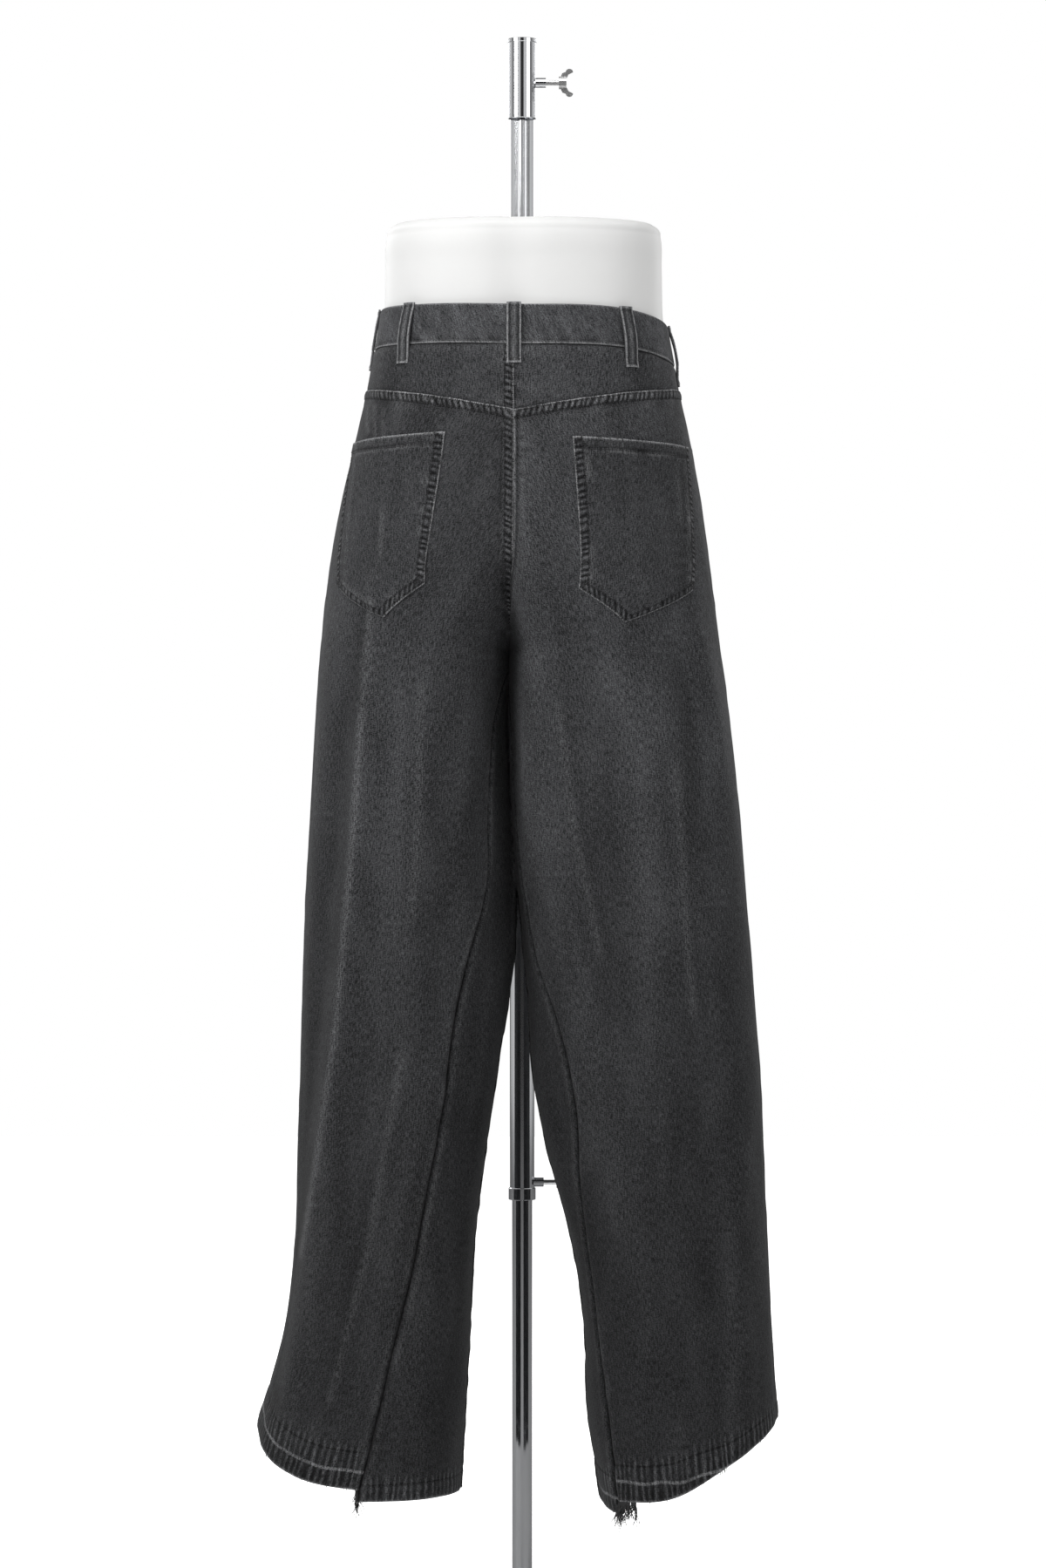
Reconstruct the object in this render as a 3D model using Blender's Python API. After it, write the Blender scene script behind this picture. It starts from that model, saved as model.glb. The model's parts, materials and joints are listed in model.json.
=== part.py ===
"""Baggy denim jeans worn by a limbless dress form that hangs on a chrome pole stand.

Metres, +Z up. The garment's front faces -Y and its back +Y, so the wearer's left leg is on +X.
The origin is the centre of the base plate's underside, on the floor.

Every cloth piece lies on one surface, the outside of the garment. A leg is a stack of horizontal
rings, each made of superellipse quadrants between named widths and depths. Above the crotch the
two ends of a ring part along the seat seam; below it they meet on the inseam. A panel is a share
of those rings between two seams, turned into a wall of cloth.
"""

import math

import bmesh
import bpy
import numpy as np
from mathutils import Matrix, Vector

# ---------------------------------------------------------------- driving dimensions
FORM_AXIS_Y = 0.055  # the form and the garment hang this far behind the base plate's centre
POLE_Y = -0.100  # the pole stands in front of the garment, outside it
CROTCH = 1.005  # height of the crotch point
SEAT_RISE = {"back": 0.170, "front": 0.135}  # height over which the seat seam curves under
SEAT_START, SEAT_EASE = 1.45, 2.8  # how gently it leaves the crotch, and reaches the straight seam
SIDE_SEAM_Y = -0.003  # the side seams' place, forward of the form's axis

WALL = 0.0014  # one layer of denim
SEAM_GAP = 0.0003  # between two pieces that are sewn together
LIFT = 0.00035  # between the waistband and a belt loop's ends
POCKET_LIFT = 0.00080  # between a back panel and its patch pocket
UNDER_GAP = 0.0015  # between a front and its pocket facing
BAND_SEAM = 0.0008  # between the waistband's lower edge and the panels below it

# Outline of the garment. Widths are distances from the form's axis, towards the wearer's left
# for left and right alike; above the crotch both inner columns are the seat seam's place.
SECTION_COLUMNS = (
    "height", "left_out", "left_in", "right_in", "right_out", "back", "front", "corner_in", "corner_out",
)
SECTIONS = (
    (1.360, 0.1380, 0.0080, 0.0080, -0.1400, 0.101, 0.098, 2.2, 2.25),
    (1.325, 0.1430, 0.0080, 0.0080, -0.1450, 0.104, 0.101, 2.2, 2.25),
    (1.267, 0.1540, 0.0080, 0.0080, -0.1555, 0.112, 0.105, 2.3, 2.25),
    (1.214, 0.1655, 0.0080, 0.0080, -0.1665, 0.121, 0.108, 2.4, 2.30),
    (1.162, 0.1775, 0.0080, 0.0080, -0.1765, 0.128, 0.110, 2.6, 2.35),
    (1.109, 0.1880, 0.0085, 0.0085, -0.1840, 0.130, 0.111, 2.7, 2.40),
    (1.060, 0.1950, 0.0100, 0.0100, -0.1900, 0.128, 0.110, 2.8, 2.50),
    (1.005, 0.2005, 0.0123, 0.0117, -0.1970, 0.123, 0.109, 2.8, 2.60),
    (0.950, 0.2045, 0.0150, 0.0110, -0.2045, 0.118, 0.108, 2.7, 2.70),
    (0.862, 0.2095, 0.0125, 0.0080, -0.2140, 0.113, 0.106, 2.6, 2.80),
    (0.774, 0.2145, 0.0080, 0.0035, -0.2215, 0.110, 0.105, 2.6, 2.80),
    (0.724, 0.2165, 0.0060, 0.0005, -0.2255, 0.109, 0.105, 2.6, 2.80),
    (0.662, 0.2185, 0.0130, -0.0060, -0.2305, 0.108, 0.104, 2.5, 2.80),
    (0.598, 0.2200, 0.0230, -0.0090, -0.2355, 0.107, 0.104, 2.5, 2.80),
    (0.510, 0.2235, 0.0360, -0.0250, -0.2400, 0.106, 0.103, 2.4, 2.70),
    (0.422, 0.2255, 0.0465, -0.0485, -0.2435, 0.105, 0.103, 2.3, 2.60),
    (0.334, 0.2360, 0.0515, -0.0620, -0.2480, 0.104, 0.103, 2.3, 2.50),
    (0.246, 0.2600, 0.0565, -0.0650, -0.2535, 0.103, 0.103, 2.3, 2.40),
    (0.190, 0.2760, 0.0600, -0.0745, -0.2570, 0.103, 0.103, 2.3, 2.40),
    (0.110, 0.2880, 0.0640, -0.0860, -0.2610, 0.103, 0.103, 2.3, 2.40),
)
LEG_SIDE = {"left": 1, "right": -1}

# The inner panel's seam on the back of each leg: how far across it lies at each height.
GUSSET_COLUMNS = ("height", "left", "right")
GUSSET_SEAM = (
    (1.003, 0.0123, 0.0117),
    (0.950, 0.0250, 0.0085),
    (0.862, 0.0325, 0.0045),
    (0.760, 0.0360, -0.0035),
    (0.700, 0.0520, -0.0130),
    (0.640, 0.0650, -0.0330),
    (0.564, 0.0745, -0.0500),
    (0.474, 0.0920, -0.0560),
    (0.390, 0.1080, -0.0670),
    (0.311, 0.1280, -0.0765),
    (0.222, 0.1490, -0.0870),
    (0.135, 0.1720, -0.0965),
)

# Heights of the sewn lines round the body, by the share of the way from centre back to centre front.
WAIST_COLUMNS = ("share", "left", "right")
WAIST_LINE = (
    (0.00, 1.341, 1.341), (0.25, 1.343, 1.340), (0.50, 1.343, 1.327),
    (0.75, 1.332, 1.321), (1.00, 1.324, 1.324),
)
BAND_HEIGHT = 0.039
BAND_THICK = 0.0028
BAND_RISE = 0.0006  # how much the waistband stands above the panels
BAND_END_GAP = 0.0005  # from the centre front to each end of the waistband
YOKE_CENTRE = 1.237  # the yoke seam's height at the centre back
YOKE_SIDE_RISE = 0.027  # how much higher it is at the side seams
YOKE_CURVE = 1.7
SCOOP_DEPTH = 0.078  # front pocket opening, below the waistband at the side seam
SCOOP_WIDTH = 0.42  # the opening's width, as a share of the front

# Heights of the hem along each panel's lower edge, from its first seam to its second.
FACING_REACH, FACING_DROP = 0.07, 0.034  # how far the piece under the opening goes beyond it
HEM_COLUMNS = ("across", "left", "right")
BACK_HEM = (
    (0.00, 0.184, 0.168), (0.30, 0.193, 0.178), (0.50, 0.206, 0.206),
    (0.70, 0.223, 0.231), (0.85, 0.235, 0.242), (1.00, 0.240, 0.249),
)
FRONT_HEM = ((0.00, 0.240, 0.249), (0.35, 0.206, 0.209), (0.70, 0.183, 0.179), (1.00, 0.173, 0.167))
GUSSET_HEM = ((0.00, 0.173, 0.167), (0.50, 0.173, 0.160), (1.00, 0.173, 0.156))
HEM_BAND = 0.037  # the let-down hem's depth
GUSSET_LEAST = 0.012  # the inner panel's width at its pointed upper end, as a share of the ring
HEM_SWELL = 0.0006  # how much a turned hem stands out on either side

# The largest folds: how far across the back each lies at its upper and lower end, and its size.
FOLD_RISE = 0.18  # share of a fold's length over which it grows
FOLD_FALL = 0.04  # share of its length beyond its lower end over which it dies away
FOLD_COLUMNS = ("leg", "top", "bottom", "top_across", "bottom_across", "height", "half_width")
FOLDS = (
    ("left", 1.035, 0.205, 0.158, 0.256, 0.0042, 0.016),
    ("left", 0.760, 0.170, 0.040, 0.168, -0.0042, 0.016),
    ("left", 0.700, 0.180, 0.085, 0.118, 0.0026, 0.026),
    ("right", 1.120, 0.700, -0.004, -0.008, 0.0030, 0.010),
    ("right", 0.700, 0.180, -0.022, -0.092, -0.0030, 0.013),
    ("right", 1.035, 0.420, -0.168, -0.196, 0.0034, 0.018),
    ("right", 1.020, 0.640, -0.178, -0.216, 0.0028, 0.012),
    ("right", 0.860, 0.220, -0.105, -0.165, 0.0024, 0.034),
)

# Back patch pocket, in its own flat sizes; its place is along the body from the seat seam.
POCKET = {"side": 0.148, "point": 0.033, "cant": 0.006}  # cant: the mouth's outer corner is this much lower
POCKET_COLUMNS = ("mouth", "inner", "width", "foot_width", "lean")
POCKETS = {  # the left one is drawn in by the crease below it
    "left": (1.2150, 0.067, 0.142, 0.108, 0.021),
    "right": (1.2105, 0.057, 0.146, 0.128, 0.012),
}

BELT_LOOP = {"width": 0.0142, "thick": 0.0018, "length": 0.060, "over": 0.0015, "stand_off": 0.0026}
LOOP_PLACES = (  # name, leg, share of the way from centre back to centre front
    ("belt_loop_back", "left", 0.0),
    ("belt_loop_back_left", "left", 0.291),
    ("belt_loop_back_right", "right", 0.279),
    ("belt_loop_side_left", "left", 0.505),
    ("belt_loop_side_right", "right", 0.505),
    ("belt_loop_front_left", "left", 0.775),
    ("belt_loop_front_right", "right", 0.775),
)
FLY = {"width": 0.042, "under": 0.014, "length": 0.165, "gap": 0.0005}
BUTTON = {"radius": 0.0085, "thick": 0.0032, "share": 0.960, "lift": 0.0006}

FORM_COLUMNS = ("height", "half_width", "back", "front")
FORM_SECTIONS = (
    (1.0300, 0.060, 0.042, 0.037),
    (1.0360, 0.102, 0.070, 0.062),
    (1.0500, 0.136, 0.094, 0.082),
    (1.0720, 0.157, 0.110, 0.095),
    (1.1050, 0.166, 0.118, 0.101),
    (1.1450, 0.1655, 0.119, 0.102),
    (1.1900, 0.159, 0.115, 0.101),
    (1.2400, 0.150, 0.107, 0.099),
    (1.2900, 0.143, 0.100, 0.097),
    (1.3380, 0.1385, 0.0965, 0.094),
    (1.3850, 0.1375, 0.0955, 0.093),
    (1.4150, 0.1365, 0.0945, 0.092),
    (1.4240, 0.1340, 0.0915, 0.0895),
    (1.4280, 0.1280, 0.0860, 0.0845),
)
FORM_X = -0.0015
FORM_SQUARENESS = 2.2
FORM_STEPS = 32
FORM_DISH = 0.001  # how far the middle of the form's underside hangs below its first ring

ROD_RADIUS = 0.0034
ROD_FLANGE = {"radius": 0.011, "thick": 0.002}
COLLAR = {"radius": 0.0141, "wall": 0.0016, "bottom": 1.535, "top": 1.6145}
SPIGOT_RECESS = 0.004
OUTER_TUBE = {"radius": 0.0127, "wall": 0.0019, "bottom": 0.4455, "top": 1.5735}
CLAMP_RING = {"radius": 0.0141, "height": 0.0125}
INNER_POLE = {"radius": 0.0105, "wall": 0.0015, "top": 0.900}
FIT = 0.0003  # clearance round a part that slides, turns or is seated in another
BASE = {"radius": 0.170, "thick": 0.009, "edge": 0.003, "hub_radius": 0.020, "hub_height": 0.030}
ARM = {"width": 0.018, "thick": 0.012, "height": 1.580}
SCREW = {
    "radius": 0.0025, "boss_radius": 0.0049, "boss_length": 0.0095, "shank": 0.0225,
    "hub_radius": 0.0062, "hub_length": 0.0075, "wing_tip": 0.0138, "wing_root": 0.0052,
    "wing_width": 0.0073, "wing_round": 0.0031, "wing_thick": 0.0030, "wing_lean": 0.0062,
}
BOSS_SUNK = 0.0012  # how far a boss reaches into the tube's wall
BREAK = 0.0006  # width of a small broken edge on a tube
HUB_BREAK = 0.002  # and on the pole socket and the arm's cap
SOCKET_FLOOR = 0.003  # of metal under the pole
PLUG_LENGTH = 0.030  # of the arm's plug inside the outer tube
COLLAR_LIP = {"out": 0.0006, "height": 0.0040}  # the collar's thicker top edge
LOWER_SCREW_HEIGHT = 0.4635
UPPER_SCREW_HEIGHT = 1.571

COLOURS = {  # name: (colour, roughness, metallic)
    "denim": ((0.045, 0.046, 0.048), 0.92, 0.0),
    "denim_band": ((0.062, 0.063, 0.065), 0.92, 0.0),
    "button_metal": ((0.30, 0.29, 0.27), 0.42, 1.0),
    "form_shell": ((0.86, 0.86, 0.84), 0.38, 0.0),
    "chrome": ((0.80, 0.80, 0.79), 0.08, 1.0),
    "zinc": ((0.62, 0.62, 0.60), 0.35, 1.0),
}


# ---------------------------------------------------------------- numbers from the tables
def through(rows, columns, name, at):
    """A smooth curve through one column of a table, read at any value of the first column."""
    table = np.array([[row[0], row[columns.index(name)]] for row in rows], float)
    table = table[np.argsort(table[:, 0])]
    key, value = table[:, 0], table[:, 1]
    slope = np.gradient(value, key)
    at = np.asarray(at, float)
    low = np.clip(np.searchsorted(key, at) - 1, 0, len(key) - 2)
    span = key[low + 1] - key[low]
    t = np.clip((at - key[low]) / span, 0, 1)
    return (
        (1 + 2 * t) * (1 - t) ** 2 * value[low]
        + t * (1 - t) ** 2 * span * slope[low]
        + t * t * (3 - 2 * t) * value[low + 1]
        + t * t * (t - 1) * span * slope[low + 1]
    )


def section(height, name):
    return through(SECTIONS, SECTION_COLUMNS, name, height)


# ---------------------------------------------------------------- the garment's surface
RING_SAMPLES = 60  # points along one quadrant of a ring
TANGENT_STEP = 0.004  # the ring's direction is read this far either side of a point
NORMAL_STEP = 0.005  # and the cloth's, this far in all four directions
EASE = (lambda q: q * q * (3 - 2 * q))(np.linspace(0, 1, RING_SAMPLES))


def leg_ring(leg, height):
    """Points of a leg's horizontal rings, from the inner end on the back, round the side seam, to
    the inner end on the front. Each quadrant is x = a cos^(2/n), y = b sin^(2/n)."""
    side = LEG_SIDE[leg]
    out = section(height, leg + "_out")[:, None]
    inner = section(height, leg + "_in")[:, None] + side * SEAM_GAP / 2
    power_in = 2 / section(height, "corner_in")[:, None]
    power_out = 2 / section(height, "corner_out")[:, None]
    halves = {}
    for face, sign in (("back", 1), ("front", -1)):
        opened = np.clip((height - CROTCH) / SEAT_RISE[face], 0, 1)[:, None] ** SEAT_START
        start = np.arccos((1 - opened) ** SEAT_EASE)
        half = np.abs(out - inner) / (1 + np.cos(start) ** power_in)
        middle = out - side * half
        depth = section(height, face)[:, None] - sign * SIDE_SEAM_Y
        turn_in = start + (math.pi / 2 - start) * EASE
        turn_out = math.pi / 2 * EASE + 0 * start
        x = np.hstack([
            middle - side * half * np.abs(np.cos(turn_in)) ** power_in,
            middle + side * half * np.sin(turn_out) ** power_out,
        ])
        y = depth * np.hstack([np.sin(turn_in) ** power_in, np.abs(np.cos(turn_out)) ** power_out])
        y[:, -1] = 0
        halves[face] = (x, SIDE_SEAM_Y + sign * y)
    (xb, yb), (xf, yf) = halves["back"], halves["front"]
    return np.hstack([xb, xf[:, ::-1]]), np.hstack([yb, yf[:, ::-1]])


def ring_lengths(x, y):
    """Distance along each ring from its first point."""
    steps = np.hypot(np.diff(x, axis=1), np.diff(y, axis=1))
    return np.hstack([np.zeros((len(x), 1)), np.cumsum(steps, axis=1)])


def share_at(leg, height, across):
    """The share of the ring at which its back half passes a distance across the body."""
    height, across = np.broadcast_arrays(np.atleast_1d(height).astype(float), across)
    x, y = leg_ring(leg, height.ravel())
    lengths = ring_lengths(x, y)
    reach = LEG_SIDE[leg] * (x[:, : 2 * RING_SAMPLES] - across.ravel()[:, None])
    after = np.clip((reach < 0).sum(axis=1), 1, 2 * RING_SAMPLES - 1)
    row = np.arange(len(x))
    before = after - 1
    step = reach[row, after] - reach[row, before]
    t = np.clip(-reach[row, before] / np.where(np.abs(step) < 1e-12, 1, step), 0, 1)
    at = lengths[row, before] + t * (lengths[row, after] - lengths[row, before])
    return (at / lengths[:, -1]).reshape(height.shape)


def side_share(leg, height):
    """The share of the ring at which the side seam lies."""
    lengths = ring_lengths(*leg_ring(leg, np.ravel(height)))
    return (lengths[:, 2 * RING_SAMPLES - 1] / lengths[:, -1]).reshape(np.shape(height))


def ring_length(leg, height):
    return ring_lengths(*leg_ring(leg, np.ravel(height)))[:, -1].reshape(np.shape(height))


def fold_lift(leg, height, share, length):
    """How far the folds move the cloth out or in: each is a bell across and fades at its ends."""
    lift = np.zeros_like(height)
    for of_leg, top, bottom, top_across, bottom_across, size, half_width in FOLDS:
        if of_leg != leg:
            continue
        down = (top - height) / (top - bottom)
        at = share_at(leg, height, top_across + (bottom_across - top_across) * np.clip(down, 0, 1))
        fade = np.clip(np.minimum(down / FOLD_RISE, 1 + (1 - down) / FOLD_FALL), 0, 1)
        lift += size * (fade * fade * (3 - 2 * fade)) * np.exp(-(((share - at) * length / half_width) ** 2))
    return lift


def surface(leg, height, share, out=0.0):
    """Points on the garment's outside, from heights and shares of the ring; out moves them off it."""
    height, share, out = np.broadcast_arrays(np.asarray(height, float), share, out)
    flat_height, flat_share = height.ravel(), share.ravel()
    x, y = leg_ring(leg, flat_height)
    lengths = ring_lengths(x, y)
    total = lengths[:, -1]
    row = np.arange(len(x))

    def along(target):
        after = np.clip((lengths < target[:, None]).sum(axis=1), 1, lengths.shape[1] - 1)
        span = lengths[row, after] - lengths[row, after - 1]
        t = np.clip((target - lengths[row, after - 1]) / np.where(span < 1e-12, 1, span), 0, 1)
        return tuple(v[row, after - 1] + t * (v[row, after] - v[row, after - 1]) for v in (x, y))

    target = np.clip(flat_share, 0, 1) * total
    px, py = along(target)
    x1, y1 = along(np.clip(target + TANGENT_STEP, 0, total))
    x0, y0 = along(np.clip(target - TANGENT_STEP, 0, total))
    tangent = np.hypot(x1 - x0, y1 - y0) * LEG_SIDE[leg]
    moved = out.ravel() + fold_lift(leg, flat_height, flat_share, total)
    px = px - (y1 - y0) / tangent * moved
    py = py + (x1 - x0) / tangent * moved
    return np.stack([px, py + FORM_AXIS_Y, flat_height], axis=1).reshape(height.shape + (3,))


def surface_normal(leg, height, share):
    """The way out of the cloth at the same points. It is read on both sides of a seam alike."""
    height, share = np.broadcast_arrays(np.asarray(height, float), share)
    step = NORMAL_STEP / ring_length(leg, height)

    def at(moved):
        return surface(leg, height, np.where(height < CROTCH, moved % 1.0, np.clip(moved, 0, 1)))

    across = at(share + step) - at(share - step)
    down = surface(leg, height - NORMAL_STEP, share) - surface(leg, height + NORMAL_STEP, share)
    normal = np.cross(across, down) * LEG_SIDE[leg]
    return normal / np.maximum(np.linalg.norm(normal, axis=-1, keepdims=True), 1e-12)


# ---------------------------------------------------------------- sewn lines
def waist_top(leg, share):
    return through(WAIST_LINE, WAIST_COLUMNS, leg, share)


def band_bottom(leg, share):
    return waist_top(leg, share) - BAND_HEIGHT


def yoke_line(across):
    """Height of the yoke seam, from the centre back (0) to the side seam (1)."""
    return YOKE_CENTRE + YOKE_SIDE_RISE * (1 - (1 - across) ** YOKE_CURVE)


def waist_side(leg):
    """The side seam's share of the ring at the waistband's lower edge."""
    return float(side_share(leg, np.array([band_bottom(leg, 0.5)]))[0])


def front_top(leg, across):
    """Upper edge of a front, from the side seam (0) to the centre (1): the scooped pocket mouth,
    then the waistband."""
    side = waist_side(leg)
    band = band_bottom(leg, side + (1 - side) * across)
    return band - SCOOP_DEPTH * np.sqrt(1 - np.clip(across / SCOOP_WIDTH, 0, 1) ** 2)


def hem_line(rows, leg, across):
    return through(rows, HEM_COLUMNS, leg, across)


def gusset_share(leg, height):
    across = through(GUSSET_SEAM, GUSSET_COLUMNS, leg, height)
    return np.maximum(share_at(leg, height, across), GUSSET_LEAST)


# ---------------------------------------------------------------- Blender helpers
def clear_scene():
    for obj in list(bpy.data.objects):
        bpy.data.objects.remove(obj)


def material(name):
    found = bpy.data.materials.get(name)
    if found:
        return found
    colour, roughness, metallic = COLOURS[name]
    made = bpy.data.materials.new(name)
    made.use_nodes = True
    shader = made.node_tree.nodes["Principled BSDF"]
    shader.inputs["Base Color"].default_value = (*colour, 1)
    shader.inputs["Roughness"].default_value = roughness
    shader.inputs["Metallic"].default_value = metallic
    return made


def add_mesh(name, points, faces, finish, smooth_angle=40):
    mesh = bpy.data.meshes.new(name)
    mesh.from_pydata([tuple(p) for p in points], [], faces)
    mesh.validate()
    mesh.update()
    mesh.materials.append(material(finish))
    mesh.shade_smooth()
    mesh.set_sharp_from_angle(angle=math.radians(smooth_angle))
    obj = bpy.data.objects.new(name, mesh)
    bpy.context.scene.collection.objects.link(obj)
    return obj


def grid_faces(rows, columns, first=0, flip=False):
    """Quads of a grid of points that is stored row by row."""
    corner = first + np.arange(rows - 1)[:, None] * columns + np.arange(columns - 1)[None, :]
    quads = np.stack([corner, corner + 1, corner + columns + 1, corner + columns], axis=-1).reshape(-1, 4)
    return (quads[:, ::-1] if flip else quads).tolist()


def rim_faces(rows, columns, flip):
    """Quads that join the rims of two grids, the second stored after the first."""
    top = list(range(columns))
    right = [r * columns + columns - 1 for r in range(rows)]
    bottom = [(rows - 1) * columns + c for c in range(columns)][::-1]
    left = [r * columns for r in range(rows)][::-1]
    loop = top + right[1:] + bottom[1:] + left[1:-1]
    second = rows * columns
    quads = []
    for here, there in zip(loop, loop[1:] + loop[:1]):
        quad = [here, here + second, there + second, there]
        quads.append(quad[::-1] if flip else quad)
    return quads


def wall(name, points, normal, handed, finish="denim", thick=WALL, above=0.0):
    """A closed wall from a grid of points: its outside stands above them, and it goes thick inwards.
    thick and above may be grids. handed is the leg's side, +1 or -1, for the grid's handedness."""
    rows, columns = points.shape[:2]
    thick = np.broadcast_to(thick, (rows, columns))[..., None]
    above = np.broadcast_to(above, (rows, columns))[..., None]
    outer, inner = points + normal * above, points + normal * (above - thick)
    flip = handed < 0
    faces = grid_faces(rows, columns, 0, flip)
    faces += grid_faces(rows, columns, rows * columns, not flip)
    faces += rim_faces(rows, columns, flip)
    return add_mesh(name, np.concatenate([outer.reshape(-1, 3), inner.reshape(-1, 3)]), faces, finish)


def leg_wall(name, leg, height, share, finish="denim", thick=WALL, above=0.0):
    """A wall on one leg's side of the garment, from a grid of heights and shares of the ring."""
    points, normal = surface(leg, height, share), surface_normal(leg, height, share)
    return wall(name, points, normal, LEG_SIDE[leg], finish, thick, above)


def joined_wall(name, parts, finish="denim", thick=WALL, above=0.0):
    """A wall across the body's middle. parts are (leg, height, share) grids, ordered so that they
    run towards the wearer's left on the back, or towards the right on the front."""
    points = np.hstack([surface(*part) for part in parts])
    normal = np.hstack([surface_normal(*part) for part in parts])
    return wall(name, points, normal, 1, finish, thick, above)


# ---------------------------------------------------------------- panels
ABOVE_CROTCH = (0.0, 0.18, 0.35, 0.51, 0.65, 0.76, 0.85, 0.93, 1.0)
BELOW_CROTCH = tuple(np.linspace(0, 1, 19))
FRONT_COLUMNS = (0.52, 0.64, 0.76, 0.88, 1.0)  # a front's columns beyond its pocket opening
HEM_ROWS = ((-4, 1.18), (-3, 1.0), (-2, 0.5))  # rows near the hem: how far up, in hem depths


def rows_below(lower, hem):
    """Heights of a panel's rows from the crotch down. They follow one line round the leg, so that
    both sides of a seam have the same rows, and only the last row follows the panel's own hem."""
    rows = np.array([CROTCH - SEAM_GAP + (lower - CROTCH + SEAM_GAP) * t for t in BELOW_CROTCH])
    for row, share in HEM_ROWS:
        rows[row] = lower + HEM_BAND * share
    rows[-1] = hem
    return rows


def rows_above(upper):
    return np.array([upper + (CROTCH + SEAM_GAP - upper) * t for t in ABOVE_CROTCH])


def leg_panel(name, leg, height, first, last, across):
    """A panel between two seams, its turned hem a little thicker."""
    gap = SEAM_GAP / 2 / ring_length(leg, height)
    share = (first + gap) + (last - first - 2 * gap) * across
    swell = np.zeros(height.shape)
    swell[-3:] = HEM_SWELL
    leg_wall(f"{name}_{leg}", leg, height, share, thick=WALL + 2 * swell, above=swell)


def back_panel(leg, columns=19):
    across = np.linspace(0, 1, columns)
    lower = hem_line(BACK_HEM, leg, across)
    height = np.vstack([rows_above(yoke_line(across) - SEAM_GAP / 2), rows_below(lower, lower)])
    first = np.where(height > CROTCH, 0, gusset_share(leg, height))
    leg_panel("back", leg, height, first, side_share(leg, height), across)


def gusset_panel(leg, columns=7):
    across = np.linspace(0, 1, columns)
    ends = hem_line(FRONT_HEM, leg, 1.0), hem_line(BACK_HEM, leg, 0.0)
    height = rows_below(ends[0] + (ends[1] - ends[0]) * across, hem_line(GUSSET_HEM, leg, across))
    height[0] -= 3 * SEAM_GAP
    leg_panel("gusset", leg, height, 0, gusset_share(leg, height), across)


def front_panel(leg):
    across = np.concatenate([SCOOP_WIDTH * np.sin(np.linspace(0, math.pi / 2, 6)), FRONT_COLUMNS])
    lower = hem_line(FRONT_HEM, leg, across)
    height = np.vstack([rows_above(front_top(leg, across) - BAND_SEAM), rows_below(lower, lower)])
    leg_panel("front", leg, height, side_share(leg, height), 1, across)


def yoke(leg, columns=16, rows=4):
    across = np.linspace(0, 1, columns)
    upper = band_bottom(leg, across * waist_side(leg)) - BAND_SEAM
    lower = yoke_line(across) + SEAM_GAP / 2
    height = upper + (lower - upper) * np.linspace(0, 1, rows)[:, None]
    gap = SEAM_GAP / 2 / ring_length(leg, height)
    leg_wall("yoke_" + leg, leg, height, gap + (side_share(leg, height) - 2 * gap) * across)


def waistband(columns=20, rows=3):
    """One band from the right front's end, round the back, to the left front's end."""
    parts = []
    for leg, first in (("right", 1), ("left", 0)):
        share = np.linspace(0, 1, columns)[first:]
        share = share[::-1] if leg == "right" else share
        height = waist_top(leg, share) - np.linspace(0, BAND_HEIGHT - SEAM_GAP / 2, rows)[:, None]
        parts.append((leg, height, share * (1 - BAND_END_GAP / ring_length(leg, height))))
    joined_wall("waistband", parts, "denim_band", BAND_THICK, BAND_RISE)


# ---------------------------------------------------------------- what lies on or under a panel
def front_facing(leg, columns=8, rows=7):
    """The piece that shows inside the scooped front pocket, under the front."""
    across = np.linspace(0.010, SCOOP_WIDTH + FACING_REACH, columns)
    side = waist_side(leg)
    upper = band_bottom(leg, side + (1 - side) * across) - BAND_SEAM
    height = upper - (SCOOP_DEPTH + FACING_DROP) * np.linspace(0, 1, rows)[:, None]
    start = side_share(leg, height)
    leg_wall("pocket_facing_" + leg, leg, height, start + (1 - start) * across, above=-(WALL + UNDER_GAP))


def fly_shield(columns=4, rows=7):
    """The piece behind the front opening, under both fronts."""
    parts = []
    for leg, width in (("left", FLY["width"]), ("right", FLY["under"])):
        away = np.linspace(1, 0, columns) * width + SEAM_GAP
        away = away[::-1] if leg == "right" else away
        top = band_bottom(leg, 1.0) - 2 * BAND_SEAM
        height = top - FLY["length"] * np.linspace(0, 1, rows)[:, None] + 0 * away
        parts.append((leg, height, 1 - away / ring_length(leg, height)))
    joined_wall("fly_shield", parts, above=-(WALL + FLY["gap"]))


def back_pocket(leg, columns=12, rows=12):
    """A patch with a pointed foot. u runs from its inner side to its outer, v from mouth to foot."""
    mouth, inner, width, foot_width, lean = POCKETS[leg]
    u, v = np.meshgrid(np.linspace(0, 1, columns), np.linspace(0, 1, rows))
    depth = POCKET["side"] + POCKET["point"] * (1 - np.abs(2 * u - 1))
    height = mouth - POCKET["cant"] * u * (1 - v) - depth * v
    along = inner + lean * v + (width + (foot_width - width) * v) * u
    leg_wall("back_pocket_" + leg, leg, height, along / ring_length(leg, height), above=POCKET_LIFT + WALL)


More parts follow.
